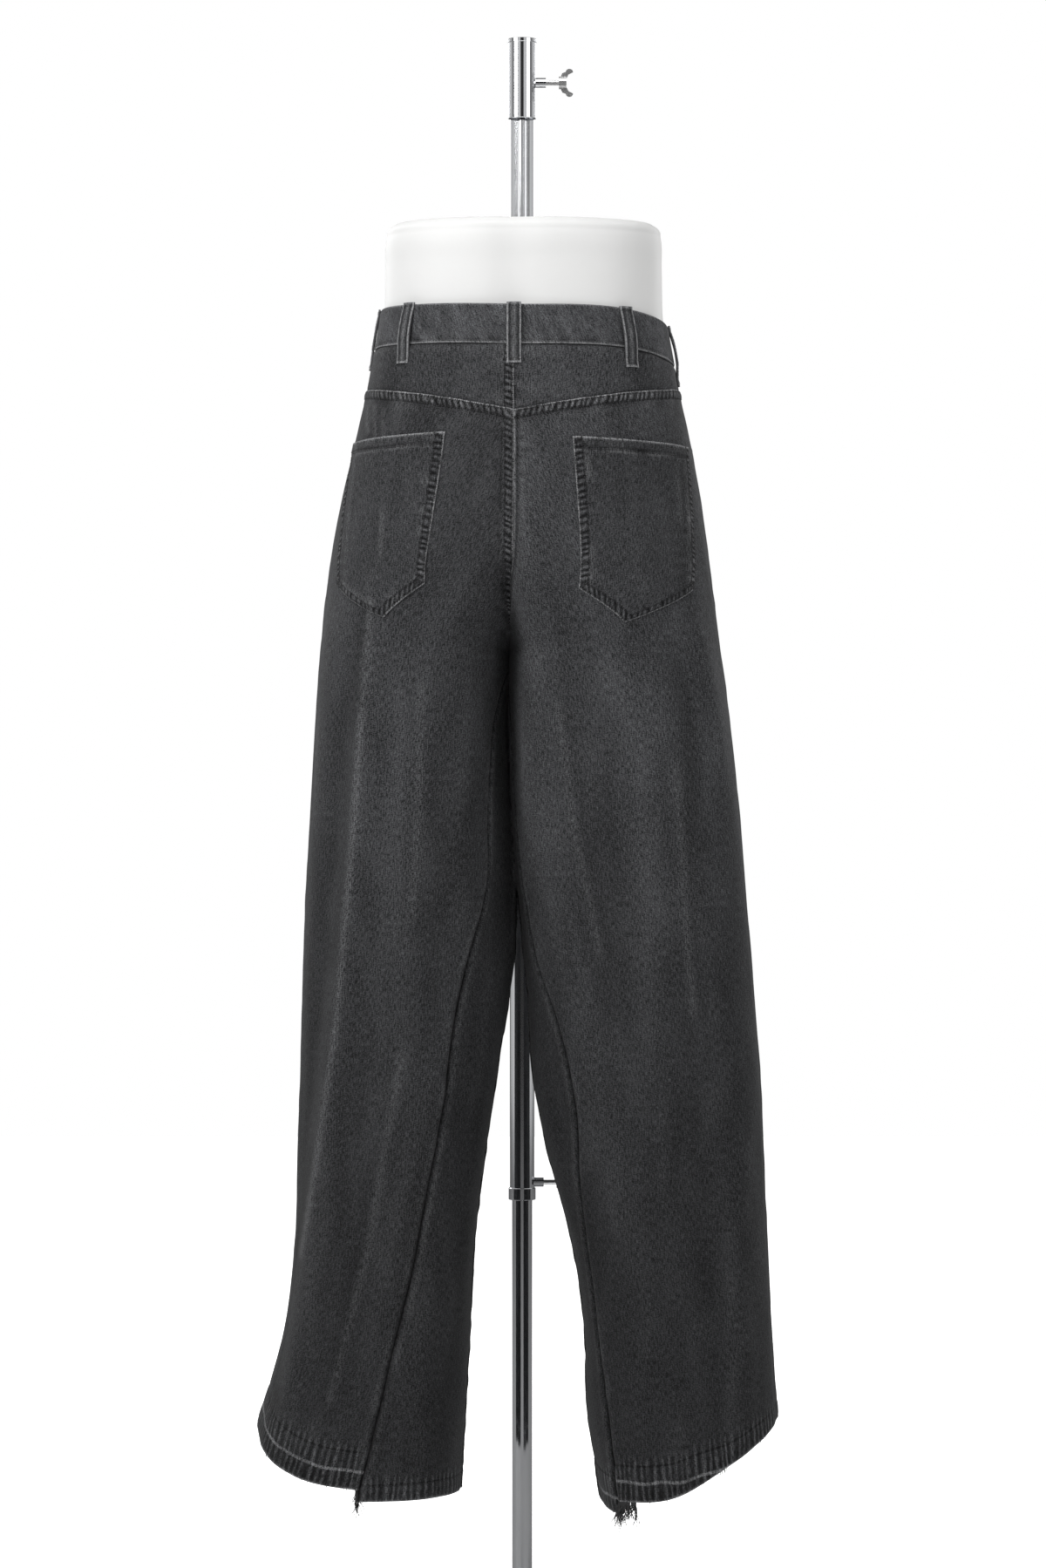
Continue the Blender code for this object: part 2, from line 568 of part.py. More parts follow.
def belt_loop(name, leg, share, rows=9, columns=4):
    """A strip down over the waistband onto the panel below. Its middle stands off, its ends lie on."""
    down = np.linspace(0, 1, rows)[:, None]
    length = BELT_LOOP["length"]
    height = waist_top(leg, share) + BELT_LOOP["over"] - length * down
    across = np.linspace(-0.5, 0.5, columns) * BELT_LOOP["width"]
    height = height + 0 * across
    below_band = np.clip((band_bottom(leg, share) + 0.002 - height) / 0.004, 0, 1)
    ease = np.sin(math.pi * np.clip((down - 0.10) / 0.76, 0, 1)) ** 0.7
    out = BAND_RISE * (1 - below_band) + LIFT + BELT_LOOP["thick"] + BELT_LOOP["stand_off"] * ease
    out = out + 0 * height
    if share > 0:
        at = share + across / ring_length(leg, height)
        leg_wall(name, leg, height, at, "denim_band", BELT_LOOP["thick"], out)
        return
    parts = []
    for leg, chosen in (("right", across < 0), ("left", across > 0)):
        z = height[:, chosen]
        parts.append((leg, z, np.abs(across[chosen]) / ring_length(leg, z)))
    joined_wall(name, parts, "denim_band", BELT_LOOP["thick"], out)


def button():
    """A domed metal button at the centre front, its back parallel to the waistband."""
    height = waist_top("left", 1.0) - BAND_HEIGHT / 2
    share, lift = np.array([BUTTON["share"]]), BAND_RISE + BUTTON["lift"]
    centre = surface("left", np.array([height]), share, lift)[0]
    r, t = BUTTON["radius"], BUTTON["thick"]
    profile = [
        (0, 0), (0.93 * r, 0), (r, 0.25 * t), (r, 0.55 * t),
        (0.88 * r, 0.86 * t), (0.62 * r, t), (0, 0.94 * t),
    ]
    lathe("waist_button", profile, "button_metal", 20, centre, Matrix.Rotation(math.pi / 2, 4, "X"))


# ---------------------------------------------------------------- turned and joined metal parts
def lathe(name, profile, finish, steps=32, place=(0, 0, 0), turn=None):
    """Turns a profile of (radius, height) points round Z. Its ends lie on the axis, or it closes
    on itself."""
    bm = bmesh.new()
    rings = []
    for radius, height in profile:
        if radius < 1e-9:
            rings.append([bm.verts.new((0, 0, height))] * steps)
            continue
        angles = [2 * math.pi * (k + 0.5) / steps for k in range(steps)]
        rings.append([bm.verts.new((radius * math.cos(a), radius * math.sin(a), height)) for a in angles])
    closes = profile[0][0] > 1e-9
    pairs = list(zip(rings, rings[1:] + rings[:1])) if closes else list(zip(rings, rings[1:]))
    for low, high in pairs:
        for k in range(steps):
            corners = [low[k], low[(k + 1) % steps], high[(k + 1) % steps], high[k]]
            corners = [v for n, v in enumerate(corners) if v not in corners[:n]]
            if len(corners) > 2:
                bm.faces.new(corners)
    bmesh.ops.recalc_face_normals(bm, faces=bm.faces)
    if turn is not None:
        bm.transform(turn)
    bm.transform(Matrix.Translation(Vector(place)))
    mesh = bpy.data.meshes.new(name)
    bm.to_mesh(mesh)
    bm.free()
    mesh.materials.append(material(finish))
    mesh.shade_smooth()
    mesh.set_sharp_from_angle(angle=math.radians(35))
    obj = bpy.data.objects.new(name, mesh)
    bpy.context.scene.collection.objects.link(obj)
    return obj


def rod_between(name, radius, start, length, direction, finish="chrome", steps=16):
    """A solid cylinder from a point along a direction."""
    turn = Vector((0, 0, 1)).rotation_difference(Vector(direction)).to_matrix().to_4x4()
    return lathe(name, [(0, 0), (radius, 0), (radius, length), (0, length)], finish, steps, start, turn)


def combine(obj, other, operation):
    """Joins or cuts one solid with another and removes the other."""
    step = obj.modifiers.new("combine", "BOOLEAN")
    step.operation = operation
    step.solver = "EXACT"
    step.object = other
    bpy.context.view_layer.update()
    graph = bpy.context.evaluated_depsgraph_get()
    mesh = bpy.data.meshes.new_from_object(obj.evaluated_get(graph))
    obj.modifiers.clear()
    obj.data = mesh
    bpy.data.objects.remove(other)
    mesh.set_sharp_from_angle(angle=math.radians(35))
    return obj


TO_RIGHT = (-1, 0, 0)  # the wearer's right


def add_screw_boss(obj, surface_radius, y, height):
    """A boss on the wearer's right side of an upright tube, bored through the tube's wall."""
    start = (BOSS_SUNK - surface_radius, y, height)
    boss = rod_between("boss", SCREW["boss_radius"], start, SCREW["boss_length"] + BOSS_SUNK, TO_RIGHT)
    combine(obj, boss, "UNION")
    start, through_all = (-0.003, y, height), surface_radius + SCREW["boss_length"] + 0.010
    bore = rod_between("bore", SCREW["radius"] + FIT, start, through_all, TO_RIGHT, steps=12)
    return combine(obj, bore, "DIFFERENCE")


def wing_screw(name, tube_radius, tip_radius, y, height):
    """A wing screw along -X: its shank ends just short of what it presses on."""
    reach = tube_radius + SCREW["shank"]
    tip, hub_start = (-(tip_radius + FIT), y, height), (-reach, y, height)
    screw = rod_between(name, SCREW["radius"], tip, reach - tip_radius, TO_RIGHT, "zinc", 12)
    hub = rod_between("hub", SCREW["hub_radius"], hub_start, SCREW["hub_length"], TO_RIGHT, "zinc", 16)
    combine(screw, hub, "UNION")
    for side in (1, -1):
        combine(screw, wing("wing", -reach, y, height, side), "UNION")
    return screw


def wing(name, x, y, height, side):
    """One flat wing, its outline drawn in (along the screw, away from it): a waist that starts
    inside the hub, and a round ear."""
    lean, half = SCREW["wing_lean"], SCREW["wing_thick"] / 2
    tip, foot = SCREW["wing_tip"], 0.6 * SCREW["wing_root"]
    waist = (SCREW["wing_root"] + tip) / 2
    start, end, ear, rise = BREAK, SCREW["hub_length"] - BREAK, SCREW["wing_width"] / 2, SCREW["wing_round"]
    centre = start + lean + ear
    outline = [(start, foot), (start + 0.45 * lean, waist)]
    for angle in np.linspace(math.pi, 0, 9):
        outline.append((centre + ear * math.cos(angle), tip - rise + rise * math.sin(angle)))
    outline += [(end + 0.45 * lean, waist - 0.001), (end, foot)]
    bm = bmesh.new()
    face = bm.faces.new([bm.verts.new((x - u, y - half, height + side * v)) for u, v in outline])
    grown = bmesh.ops.extrude_face_region(bm, geom=[face])
    top = [v for v in grown["geom"] if isinstance(v, bmesh.types.BMVert)]
    bmesh.ops.translate(bm, verts=top, vec=(0, 2 * half, 0))
    bmesh.ops.recalc_face_normals(bm, faces=bm.faces)
    mesh = bpy.data.meshes.new(name)
    bm.to_mesh(mesh)
    bm.free()
    mesh.materials.append(material("zinc"))
    obj = bpy.data.objects.new(name, mesh)
    bpy.context.scene.collection.objects.link(obj)
    return obj


def base_plate():
    """A round steel plate, its top edge rounded."""
    radius, thick, edge = BASE["radius"], BASE["thick"], BASE["edge"]
    profile = [
        (0, 0), (radius - BREAK, 0), (radius, BREAK), (radius, thick - edge),
        (radius - 0.3 * edge, thick - 0.3 * edge), (radius - edge, thick), (0, thick),
    ]
    lathe("base_plate", profile, "chrome", 64)


def pole_parts():
    """The socket and pole that stand on the base, and the tube that slides on the pole."""
    bore = INNER_POLE["radius"] + FIT
    hub, top = BASE["hub_radius"], BASE["hub_height"]
    foot = BASE["thick"] + FIT
    seat = foot + SOCKET_FLOOR
    profile = [
        (0, foot), (hub, foot), (hub, top - HUB_BREAK), (hub - HUB_BREAK, top),
        (bore, top), (bore, seat), (0, seat),
    ]
    lathe("pole_socket", profile, "chrome", 28, (0, POLE_Y, 0))
    low = seat + FIT
    r, high = INNER_POLE["radius"], INNER_POLE["top"]
    bore = r - INNER_POLE["wall"]
    lathe("inner_pole", [(bore, low), (r, low), (r, high), (bore, high)], "chrome", 24, (0, POLE_Y, 0))

    outer, inner = OUTER_TUBE["radius"], OUTER_TUBE["radius"] - OUTER_TUBE["wall"]
    ring, low, high = CLAMP_RING["radius"], OUTER_TUBE["bottom"], OUTER_TUBE["top"]
    lip = low + CLAMP_RING["height"]
    profile = [
        (inner, low), (ring - BREAK, low), (ring, low + BREAK), (ring, lip - BREAK), (ring - BREAK, lip),
        (outer, lip), (outer, high), (inner, high),
    ]
    tube = lathe("outer_tube", profile, "chrome", 24, (0, POLE_Y, 0))
    add_screw_boss(tube, outer, POLE_Y, LOWER_SCREW_HEIGHT)
    wing_screw("wing_screw_lower", outer, INNER_POLE["radius"], POLE_Y, LOWER_SCREW_HEIGHT)


def hanger():
    """The collar that holds the form's rod, and the arm from it to the tube's top."""
    outer, inner = COLLAR["radius"], COLLAR["radius"] - COLLAR["wall"]
    low, high = COLLAR["bottom"], COLLAR["top"]
    lip, lip_low = outer + COLLAR_LIP["out"], high - COLLAR_LIP["height"]
    profile = [
        (inner, low), (outer - BREAK, low), (outer, low + BREAK), (outer, lip_low),
        (lip, lip_low + BREAK), (lip, high - BREAK), (outer, high), (inner, high),
    ]
    collar = lathe("hanger", profile, "chrome", 28, (0, FORM_AXIS_Y, 0))
    ends = (POLE_Y, FORM_AXIS_Y - (inner + outer) / 2)
    middle, size = (0, sum(ends) / 2, ARM["height"]), (ARM["width"], ends[1] - ends[0], ARM["thick"])
    bpy.ops.mesh.primitive_cube_add(size=1, location=middle, scale=size)
    bar = bpy.context.object
    bpy.ops.object.transform_apply(location=True, rotation=True, scale=True)
    bar.data.materials.append(material("chrome"))
    combine(collar, bar, "UNION")
    low, high = ARM["height"] - ARM["thick"] / 2, ARM["height"] + ARM["thick"] / 2
    plug, cap = OUTER_TUBE["radius"] - OUTER_TUBE["wall"] - FIT, OUTER_TUBE["radius"]
    profile = [
        (0, low - PLUG_LENGTH), (plug, low - PLUG_LENGTH), (plug, low), (cap, low),
        (cap, high - HUB_BREAK), (cap - HUB_BREAK, high), (0, high),
    ]
    combine(collar, lathe("plug", profile, "chrome", 24, (0, POLE_Y, 0)), "UNION")
    add_screw_boss(collar, outer, FORM_AXIS_Y, UPPER_SCREW_HEIGHT)
    return collar


def form_rod():
    """The rod that the form hangs on, thick where the collar clamps it, with a flange on the form."""
    spigot = COLLAR["radius"] - COLLAR["wall"] - FIT
    low, high = COLLAR["bottom"] + SPIGOT_RECESS, COLLAR["top"] - 0.006
    foot, flange = FORM_SECTIONS[-1][0] + FIT, ROD_FLANGE["radius"]
    flange_top = foot + ROD_FLANGE["thick"]
    profile = [
        (0, foot), (flange, foot), (flange, flange_top), (ROD_RADIUS, flange_top),
        (ROD_RADIUS, low), (spigot, low), (spigot, high), (0, high),
    ]
    lathe("form_rod", profile, "chrome", 24, (0, FORM_AXIS_Y, 0))
    wing_screw("wing_screw_upper", COLLAR["radius"], spigot, FORM_AXIS_Y, UPPER_SCREW_HEIGHT)


def dress_form():
    """The form's own rings, closed by a fan at the bottom and at the top."""
    turn = 2 * math.pi * np.arange(FORM_STEPS) / FORM_STEPS
    power = 2 / FORM_SQUARENESS
    points = []
    for height, half_width, back, front in FORM_SECTIONS:
        depth = np.where(np.sin(turn) > 0, back, front)
        x = FORM_X + half_width * np.sign(np.cos(turn)) * np.abs(np.cos(turn)) ** power
        y = FORM_AXIS_Y + depth * np.sign(np.sin(turn)) * np.abs(np.sin(turn)) ** power
        points += np.stack([x, y, 0 * x + height], axis=1).tolist()
    faces = []
    for row in range(len(FORM_SECTIONS) - 1):
        for k in range(FORM_STEPS):
            low, high = row * FORM_STEPS, (row + 1) * FORM_STEPS
            faces.append((low + k, low + (k + 1) % FORM_STEPS, high + (k + 1) % FORM_STEPS, high + k))
    last = len(FORM_SECTIONS) - 1
    fans = ((0, FORM_SECTIONS[0][0] - FORM_DISH, True), (last, FORM_SECTIONS[last][0], False))
    for row, height, turned in fans:
        centre = len(points)
        points.append((FORM_X, FORM_AXIS_Y, height))
        for k in range(FORM_STEPS):
            first, second = row * FORM_STEPS + k, row * FORM_STEPS + (k + 1) % FORM_STEPS
            faces.append((centre, second, first) if turned else (centre, first, second))
    add_mesh("dress_form", points, faces, "form_shell", 50)


# ---------------------------------------------------------------- the object
clear_scene()
for leg in ("left", "right"):
    back_panel(leg)
    gusset_panel(leg)
    front_panel(leg)
    yoke(leg)
    front_facing(leg)
    back_pocket(leg)
waistband()
fly_shield()
button()
for name, leg, share in LOOP_PLACES:
    belt_loop(name, leg, share)
dress_form()
base_plate()
pole_parts()
hanger()
form_rod()
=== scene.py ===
# %% [markdown]
# # Baggy jeans on a dress form
#
# The object is a pair of faded black denim jeans with very wide legs, worn by a white dress form
# that hangs on a chrome stand. The frame gives the solids, their bodies and their sizes. This
# script dresses them: every cloth piece is worked out again on a fine grid, with its folds,
# puckered seams, stitches and wear, and the metal and the form get a smooth surface and a finish.

# %% The frame
import json
import math

import bpy
import numpy as np
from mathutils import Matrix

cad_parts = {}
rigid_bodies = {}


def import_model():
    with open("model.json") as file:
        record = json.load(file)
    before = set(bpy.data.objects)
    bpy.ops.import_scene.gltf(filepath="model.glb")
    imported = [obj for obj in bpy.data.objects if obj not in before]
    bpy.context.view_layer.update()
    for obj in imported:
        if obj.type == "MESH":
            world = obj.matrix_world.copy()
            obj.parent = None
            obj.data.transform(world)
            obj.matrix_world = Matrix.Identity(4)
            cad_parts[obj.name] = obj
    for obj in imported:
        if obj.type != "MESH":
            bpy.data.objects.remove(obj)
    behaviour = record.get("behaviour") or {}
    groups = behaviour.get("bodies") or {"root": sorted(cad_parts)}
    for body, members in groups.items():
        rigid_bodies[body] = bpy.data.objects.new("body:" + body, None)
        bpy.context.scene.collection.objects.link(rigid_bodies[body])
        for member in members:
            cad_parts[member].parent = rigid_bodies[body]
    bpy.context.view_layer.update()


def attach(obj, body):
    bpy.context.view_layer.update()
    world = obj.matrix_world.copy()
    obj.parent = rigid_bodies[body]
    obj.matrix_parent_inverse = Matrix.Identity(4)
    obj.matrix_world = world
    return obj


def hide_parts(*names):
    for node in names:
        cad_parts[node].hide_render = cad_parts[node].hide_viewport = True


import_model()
scene = bpy.context.scene

# %% [markdown]
# ## Camera
#
# The picture is taken from behind the garment, level, from almost five metres away, with a long
# lens. A frame that is taller than wide gives the sensor's width to its height, so the lens comes
# from the height that the picture shows at the form's distance.

# %% Camera
CAMERA_PLACE = (-0.0009, 4.805, 0.8728)
VIEW_HEIGHT = 1.5615  # shown at the form's axis
VIEW_DISTANCE = 4.75
SENSOR = 36.0  # mm

camera_data = bpy.data.cameras.new("camera")
camera_data.sensor_width = SENSOR
camera_data.lens = SENSOR * VIEW_DISTANCE / VIEW_HEIGHT
camera_data.clip_end = 100
camera = bpy.data.objects.new("camera", camera_data)
camera.location = CAMERA_PLACE
camera.rotation_euler = (math.pi / 2, 0, math.pi)
scene.collection.objects.link(camera)
scene.camera = camera
scene.view_settings.view_transform = "Standard"
print("lens in mm:", round(camera_data.lens, 1))

# %% [markdown]
# ## Nodes by function
#
# A material is a graph of nodes. These helpers add a node and join its inputs in one call, so that
# a graph reads like a sum: a number sets a socket, and another node's output is linked to it.


# %% Node helpers
def feed(tree, socket, value):
    """A value for a socket: a constant, or another node's output."""
    if isinstance(value, bpy.types.NodeSocket):
        tree.links.new(value, socket)
    else:
        socket.default_value = value


def add(tree, kind, inputs=None, **settings):
    """A node of that kind. inputs is {socket name or number: value or another node's output}."""
    node = tree.nodes.new(kind)
    for name, value in settings.items():
        setattr(node, name, value)
    for key, value in (inputs or {}).items():
        feed(tree, node.inputs[key], value)
    return node


def calc(tree, operation, a, b=0.0, clamp=False):
    """One step of arithmetic on numbers."""
    return add(tree, "ShaderNodeMath", {0: a, 1: b}, operation=operation, use_clamp=clamp).outputs[0]


def vector(tree, operation, a, b):
    """One step of arithmetic on vectors."""
    return add(tree, "ShaderNodeVectorMath", {0: a, 1: b}, operation=operation).outputs[0]


def times(tree, value, *others):
    """The product of some numbers."""
    for other in others:
        value = calc(tree, "MULTIPLY", value, other)
    return value


def plus(tree, value, *others):
    """The sum of some numbers."""
    for other in others:
        value = calc(tree, "ADD", value, other)
    return value


def less(tree, a, b):
    """The difference a - b."""
    return calc(tree, "SUBTRACT", a, b)


def split(tree, place):
    """The three parts of a vector."""
    return add(tree, "ShaderNodeSeparateXYZ", {0: place}).outputs


def joined(tree, *values):
    """A vector from its parts."""
    return add(tree, "ShaderNodeCombineXYZ", dict(enumerate(values))).outputs[0]


def noise(tree, place, scale, detail=2.0, rough=0.5, flat=True):
    """Noise from 0 to 1, read on a plane or in space."""
    inputs = {"Vector": place, "Scale": scale, "Detail": detail, "Roughness": rough}
    made = add(tree, "ShaderNodeTexNoise", inputs, noise_dimensions="2D" if flat else "3D")
    return made.outputs["Fac"]


def mix(tree, factor, a, b):
    """Colour a, and b over it by the factor. Each is three numbers or another node's output."""
    a, b = (c if isinstance(c, bpy.types.NodeSocket) else (*c, 1) for c in (a, b))
    return add(tree, "ShaderNodeMix", {0: factor, 6: a, 7: b}, data_type="RGBA").outputs[2]


def group(name, inputs, outputs):
    """An empty node group. inputs and outputs are {name: kind}."""
    tree = bpy.data.node_groups.new(name, "ShaderNodeTree")
    for way, sockets in (("INPUT", inputs), ("OUTPUT", outputs)):
        for socket, kind in sockets.items():
            tree.interface.new_socket(socket, in_out=way, socket_type="NodeSocket" + kind)
    return tree, add(tree, "NodeGroupInput").outputs, add(tree, "NodeGroupOutput").inputs


def use(tree, made, **inputs):
    """A group placed in a material with its own values."""
    return add(tree, "ShaderNodeGroup", inputs, node_tree=made).outputs


def new_material(name):
    """A material with its Principled shader."""
    made = bpy.data.materials.new(name)
    made.use_nodes = True
    return made, made.node_tree, made.node_tree.nodes["Principled BSDF"]


def spaces(tree, name):
    """A piece's own coordinates ("Object"), or a direction in the world ("Generated")."""
    return add(tree, "ShaderNodeTexCoord").outputs[name]


def put(name, data):
    """A new object in the scene."""
    made = bpy.data.objects.new(name, data)
    scene.collection.objects.link(made)
    return made


# %% [markdown]
# ## Studio
#
# A product studio is a white sweep with large soft lamps. The world gives even light, white behind
# the object and a little darker to the sides, so that chrome has something to mirror. Softboxes on
# the camera's side model the folds, and weaker ones light the garment's front for other views.

# %% World
SKY_LIGHT = 0.45  # brightness of the even light
DARK_BANDS = (  # by direction, from the camera's side (0) to behind the object (1)
    (0.00, 0.03), (0.10, 0.04), (0.13, 0.55), (0.20, 0.85), (0.30, 0.60), (0.34, 0.16), (0.46, 0.22),
    (0.50, 0.62), (0.72, 0.42), (0.80, 0.10), (1.0, 0.16),
)

world = bpy.data.worlds.new("studio")
scene.world = world
world.use_nodes = True
tree = world.node_tree
tree.nodes.clear()
x, y, _ = split(tree, spaces(tree, "Generated"))
angle = calc(tree, "ARCTAN2", calc(tree, "ABSOLUTE", x), y)
turned = calc(tree, "DIVIDE", angle, math.pi)
ramp = add(tree, "ShaderNodeValToRGB", {0: turned})
elements = ramp.color_ramp.elements
for place, value in DARK_BANDS[1:-1]:
    elements.new(place)
for element, (place, value) in zip(elements, DARK_BANDS):
    element.color = (value, value, value, 1)
even, mirrored, white = (
    add(tree, "ShaderNodeBackground", {0: colour, 1: strength}).outputs[0]
    for colour, strength in (((1, 1, 1, 1), SKY_LIGHT), (ramp.outputs[0], 1.0), ((1, 1, 1, 1), 1.0))
)
path = add(tree, "ShaderNodeLightPath").outputs
seen = even
for ray, background in (("Is Glossy Ray", mirrored), ("Is Camera Ray", white)):
    layer = add(tree, "ShaderNodeMixShader", {0: path[ray], 1: seen, 2: background})
    seen = layer.outputs[0]
add(tree, "ShaderNodeOutputWorld", {0: seen})
print("world: even light", SKY_LIGHT, "and", len(DARK_BANDS), "steps to mirror")

# %% Lamps
LAMPS = (  # name, place, aim, width, height, power in watts
    ("key", (2.6, 2.2, 2.7), (0, 0.1, 0.95), 1.2, 1.6, 78),
    ("fill", (-2.6, 2.6, 1.6), (0, 0.1, 0.85), 1.4, 1.6, 26),
    ("top", (0.2, 1.0, 3.3), (0, 0.05, 1.0), 1.4, 1.2, 30),
    ("front_left", (2.2, -2.8, 2.2), (0, 0, 0.9), 1.6, 1.8, 34),
    ("front_right", (-2.2, -2.8, 2.0), (0, 0, 0.9), 1.6, 1.8, 26),
)


def softbox(name, place, aim, width, height, power):
    """A rectangular lamp that faces a point."""
    lamp = bpy.data.lights.new(name, "AREA")
    lamp.shape = "RECTANGLE"
    lamp.size, lamp.size_y = width, height
    lamp.energy = power
    obj = put(name, lamp)
    towards = np.subtract(aim, place)
    flat = math.hypot(towards[0], towards[1])
    turn = math.atan2(towards[1], towards[0]) - math.pi / 2
    obj.rotation_euler = (math.pi / 2 + math.atan2(towards[2], flat), 0, turn)
    obj.location = place


for lamp_row in LAMPS:
    softbox(*lamp_row)
print("lamps:", len(LAMPS))

# %% Floor
FLOOR_SIDE = 14.0
FLOOR_LEVEL = -0.0003  # just under the base plate
FLOOR_GLOW = 0.9  # seen by the camera only, so that the sweep stays white
finish, tree, shader = new_material("studio_floor")
soft = noise(tree, spaces(tree, "Object"), 1.5, 1.0, flat=False)
pale = mix(tree, soft, (0.90, 0.90, 0.90), (0.93, 0.93, 0.93))
rays = add(tree, "ShaderNodeLightPath").outputs
feed(tree, shader.inputs["Base Color"], mix(tree, rays["Is Glossy Ray"], pale, (0.22, 0.22, 0.22)))
shader.inputs["Roughness"].default_value = 0.8
shader.inputs["Emission Color"].default_value = (1, 1, 1, 1)
feed(tree, shader.inputs["Emission Strength"], times(tree, rays["Is Camera Ray"], FLOOR_GLOW))
half = FLOOR_SIDE / 2
floor_mesh = bpy.data.meshes.new("floor")
corners = [(x, y, FLOOR_LEVEL) for x, y in ((-half, -half), (half, -half), (half, half), (-half, half))]
floor_mesh.from_pydata(corners, [], [(0, 1, 2, 3)])
floor_mesh.materials.append(finish)
floor = put("floor", floor_mesh)
print("floor:", FLOOR_SIDE, "m square")

# %% [markdown]
# ## The garment's surface
#
# Denim hangs in soft rings round each leg. A ring is four superellipse quadrants, x = a cos^(2/n)
# and y = b sin^(2/n), between widths and depths that are read from a short table. Above the crotch
# the ring's two ends part along the seat seam. All cloth lies on this one surface, so it is
# worked out once as a table of points by height and by share of the ring, and read from there.

# %% Driving sizes
FORM_AXIS_Y = 0.055
CROTCH = 1.005  # height at which the legs part
SEAT_RISE = {"back": 0.170, "front": 0.135}  # over which the rings open towards the seat seam
SEAT_START, SEAT_EASE = 1.45, 2.8
SIDE_SEAM_Y = -0.003  # from the form's axis
WALL = 0.0014  # thickness of the denim
SECTION_COLUMNS = (
    "height", "left_out", "left_in", "right_in", "right_out", "back", "front",
    "corner_in", "corner_out",
)
SECTIONS = (
    (1.360, 0.1380, 0.0080, 0.0080, -0.1400, 0.101, 0.098, 2.2, 2.25),
    (1.325, 0.1430, 0.0080, 0.0080, -0.1450, 0.104, 0.101, 2.2, 2.25),
    (1.267, 0.1540, 0.0080, 0.0080, -0.1555, 0.112, 0.105, 2.3, 2.25),
    (1.214, 0.1655, 0.0080, 0.0080, -0.1665, 0.121, 0.108, 2.4, 2.30),
    (1.162, 0.1775, 0.0080, 0.0080, -0.1765, 0.128, 0.110, 2.6, 2.35),
    (1.109, 0.1880, 0.0085, 0.0085, -0.1840, 0.130, 0.111, 2.7, 2.40),
    (1.060, 0.1950, 0.0100, 0.0100, -0.1900, 0.128, 0.110, 2.8, 2.50),
    (1.005, 0.2005, 0.0123, 0.0117, -0.1970, 0.123, 0.109, 2.8, 2.60),
    (0.950, 0.2045, 0.0150, 0.0110, -0.2045, 0.118, 0.108, 2.7, 2.70),
    (0.862, 0.2095, 0.0125, 0.0080, -0.2140, 0.113, 0.106, 2.6, 2.80),
    (0.774, 0.2145, 0.0080, 0.0035, -0.2215, 0.110, 0.105, 2.6, 2.80),
    (0.724, 0.2165, 0.0060, 0.0005, -0.2255, 0.109, 0.105, 2.6, 2.80),
    (0.662, 0.2185, 0.0130, -0.0060, -0.2305, 0.108, 0.104, 2.5, 2.80),
    (0.598, 0.2200, 0.0230, -0.0090, -0.2355, 0.107, 0.104, 2.5, 2.80),
    (0.510, 0.2235, 0.0360, -0.0250, -0.2400, 0.106, 0.103, 2.4, 2.70),
    (0.422, 0.2255, 0.0465, -0.0485, -0.2435, 0.105, 0.103, 2.3, 2.60),
    (0.334, 0.2360, 0.0515, -0.0620, -0.2480, 0.104, 0.103, 2.3, 2.50),
    (0.246, 0.2600, 0.0565, -0.0650, -0.2535, 0.103, 0.103, 2.3, 2.40),
    (0.190, 0.2760, 0.0600, -0.0745, -0.2570, 0.103, 0.103, 2.3, 2.40),
    (0.110, 0.2880, 0.0640, -0.0860, -0.2610, 0.103, 0.103, 2.3, 2.40),
)
LEG_SIDE = {"left": 1, "right": -1}
OTHER = {"left": "right", "right": "left"}

GUSSET_COLUMNS = ("height", "left", "right")
GUSSET_SEAM = (
    (1.003, 0.0123, 0.0117), (0.950, 0.0250, 0.0085), (0.862, 0.0325, 0.0045),
    (0.760, 0.0360, -0.0035), (0.700, 0.0520, -0.0130), (0.640, 0.0650, -0.0330),
    (0.564, 0.0745, -0.0500), (0.474, 0.0920, -0.0560), (0.390, 0.1080, -0.0670),
    (0.311, 0.1280, -0.0765), (0.222, 0.1490, -0.0870), (0.135, 0.1720, -0.0965),
)
WAIST_COLUMNS = ("share", "left", "right")
WAIST_LINE = (
    (0.00, 1.341, 1.341), (0.25, 1.343, 1.340), (0.50, 1.343, 1.327),
    (0.75, 1.332, 1.321), (1.00, 1.324, 1.324),
)
BAND_HEIGHT, BAND_THICK, BAND_RISE = 0.039, 0.0028, 0.0006
YOKE_CENTRE, YOKE_SIDE_RISE, YOKE_CURVE = 1.237, 0.027, 1.7
SCOOP_DEPTH, SCOOP_WIDTH = 0.078, 0.42
HEM_COLUMNS = ("across", "left", "right")
BACK_HEM = (
    (0.00, 0.184, 0.168), (0.30, 0.193, 0.178), (0.50, 0.206, 0.206),
    (0.70, 0.223, 0.231), (0.85, 0.235, 0.242), (1.00, 0.240, 0.249),
)
FRONT_HEM = (
    (0.00, 0.240, 0.249), (0.35, 0.206, 0.209), (0.70, 0.183, 0.179), (1.00, 0.173, 0.167),
)
GUSSET_HEM = ((0.00, 0.173, 0.167), (0.50, 0.173, 0.160), (1.00, 0.173, 0.156))
print("rings at", len(SECTIONS), "heights; wall", WALL * 1000, "mm")


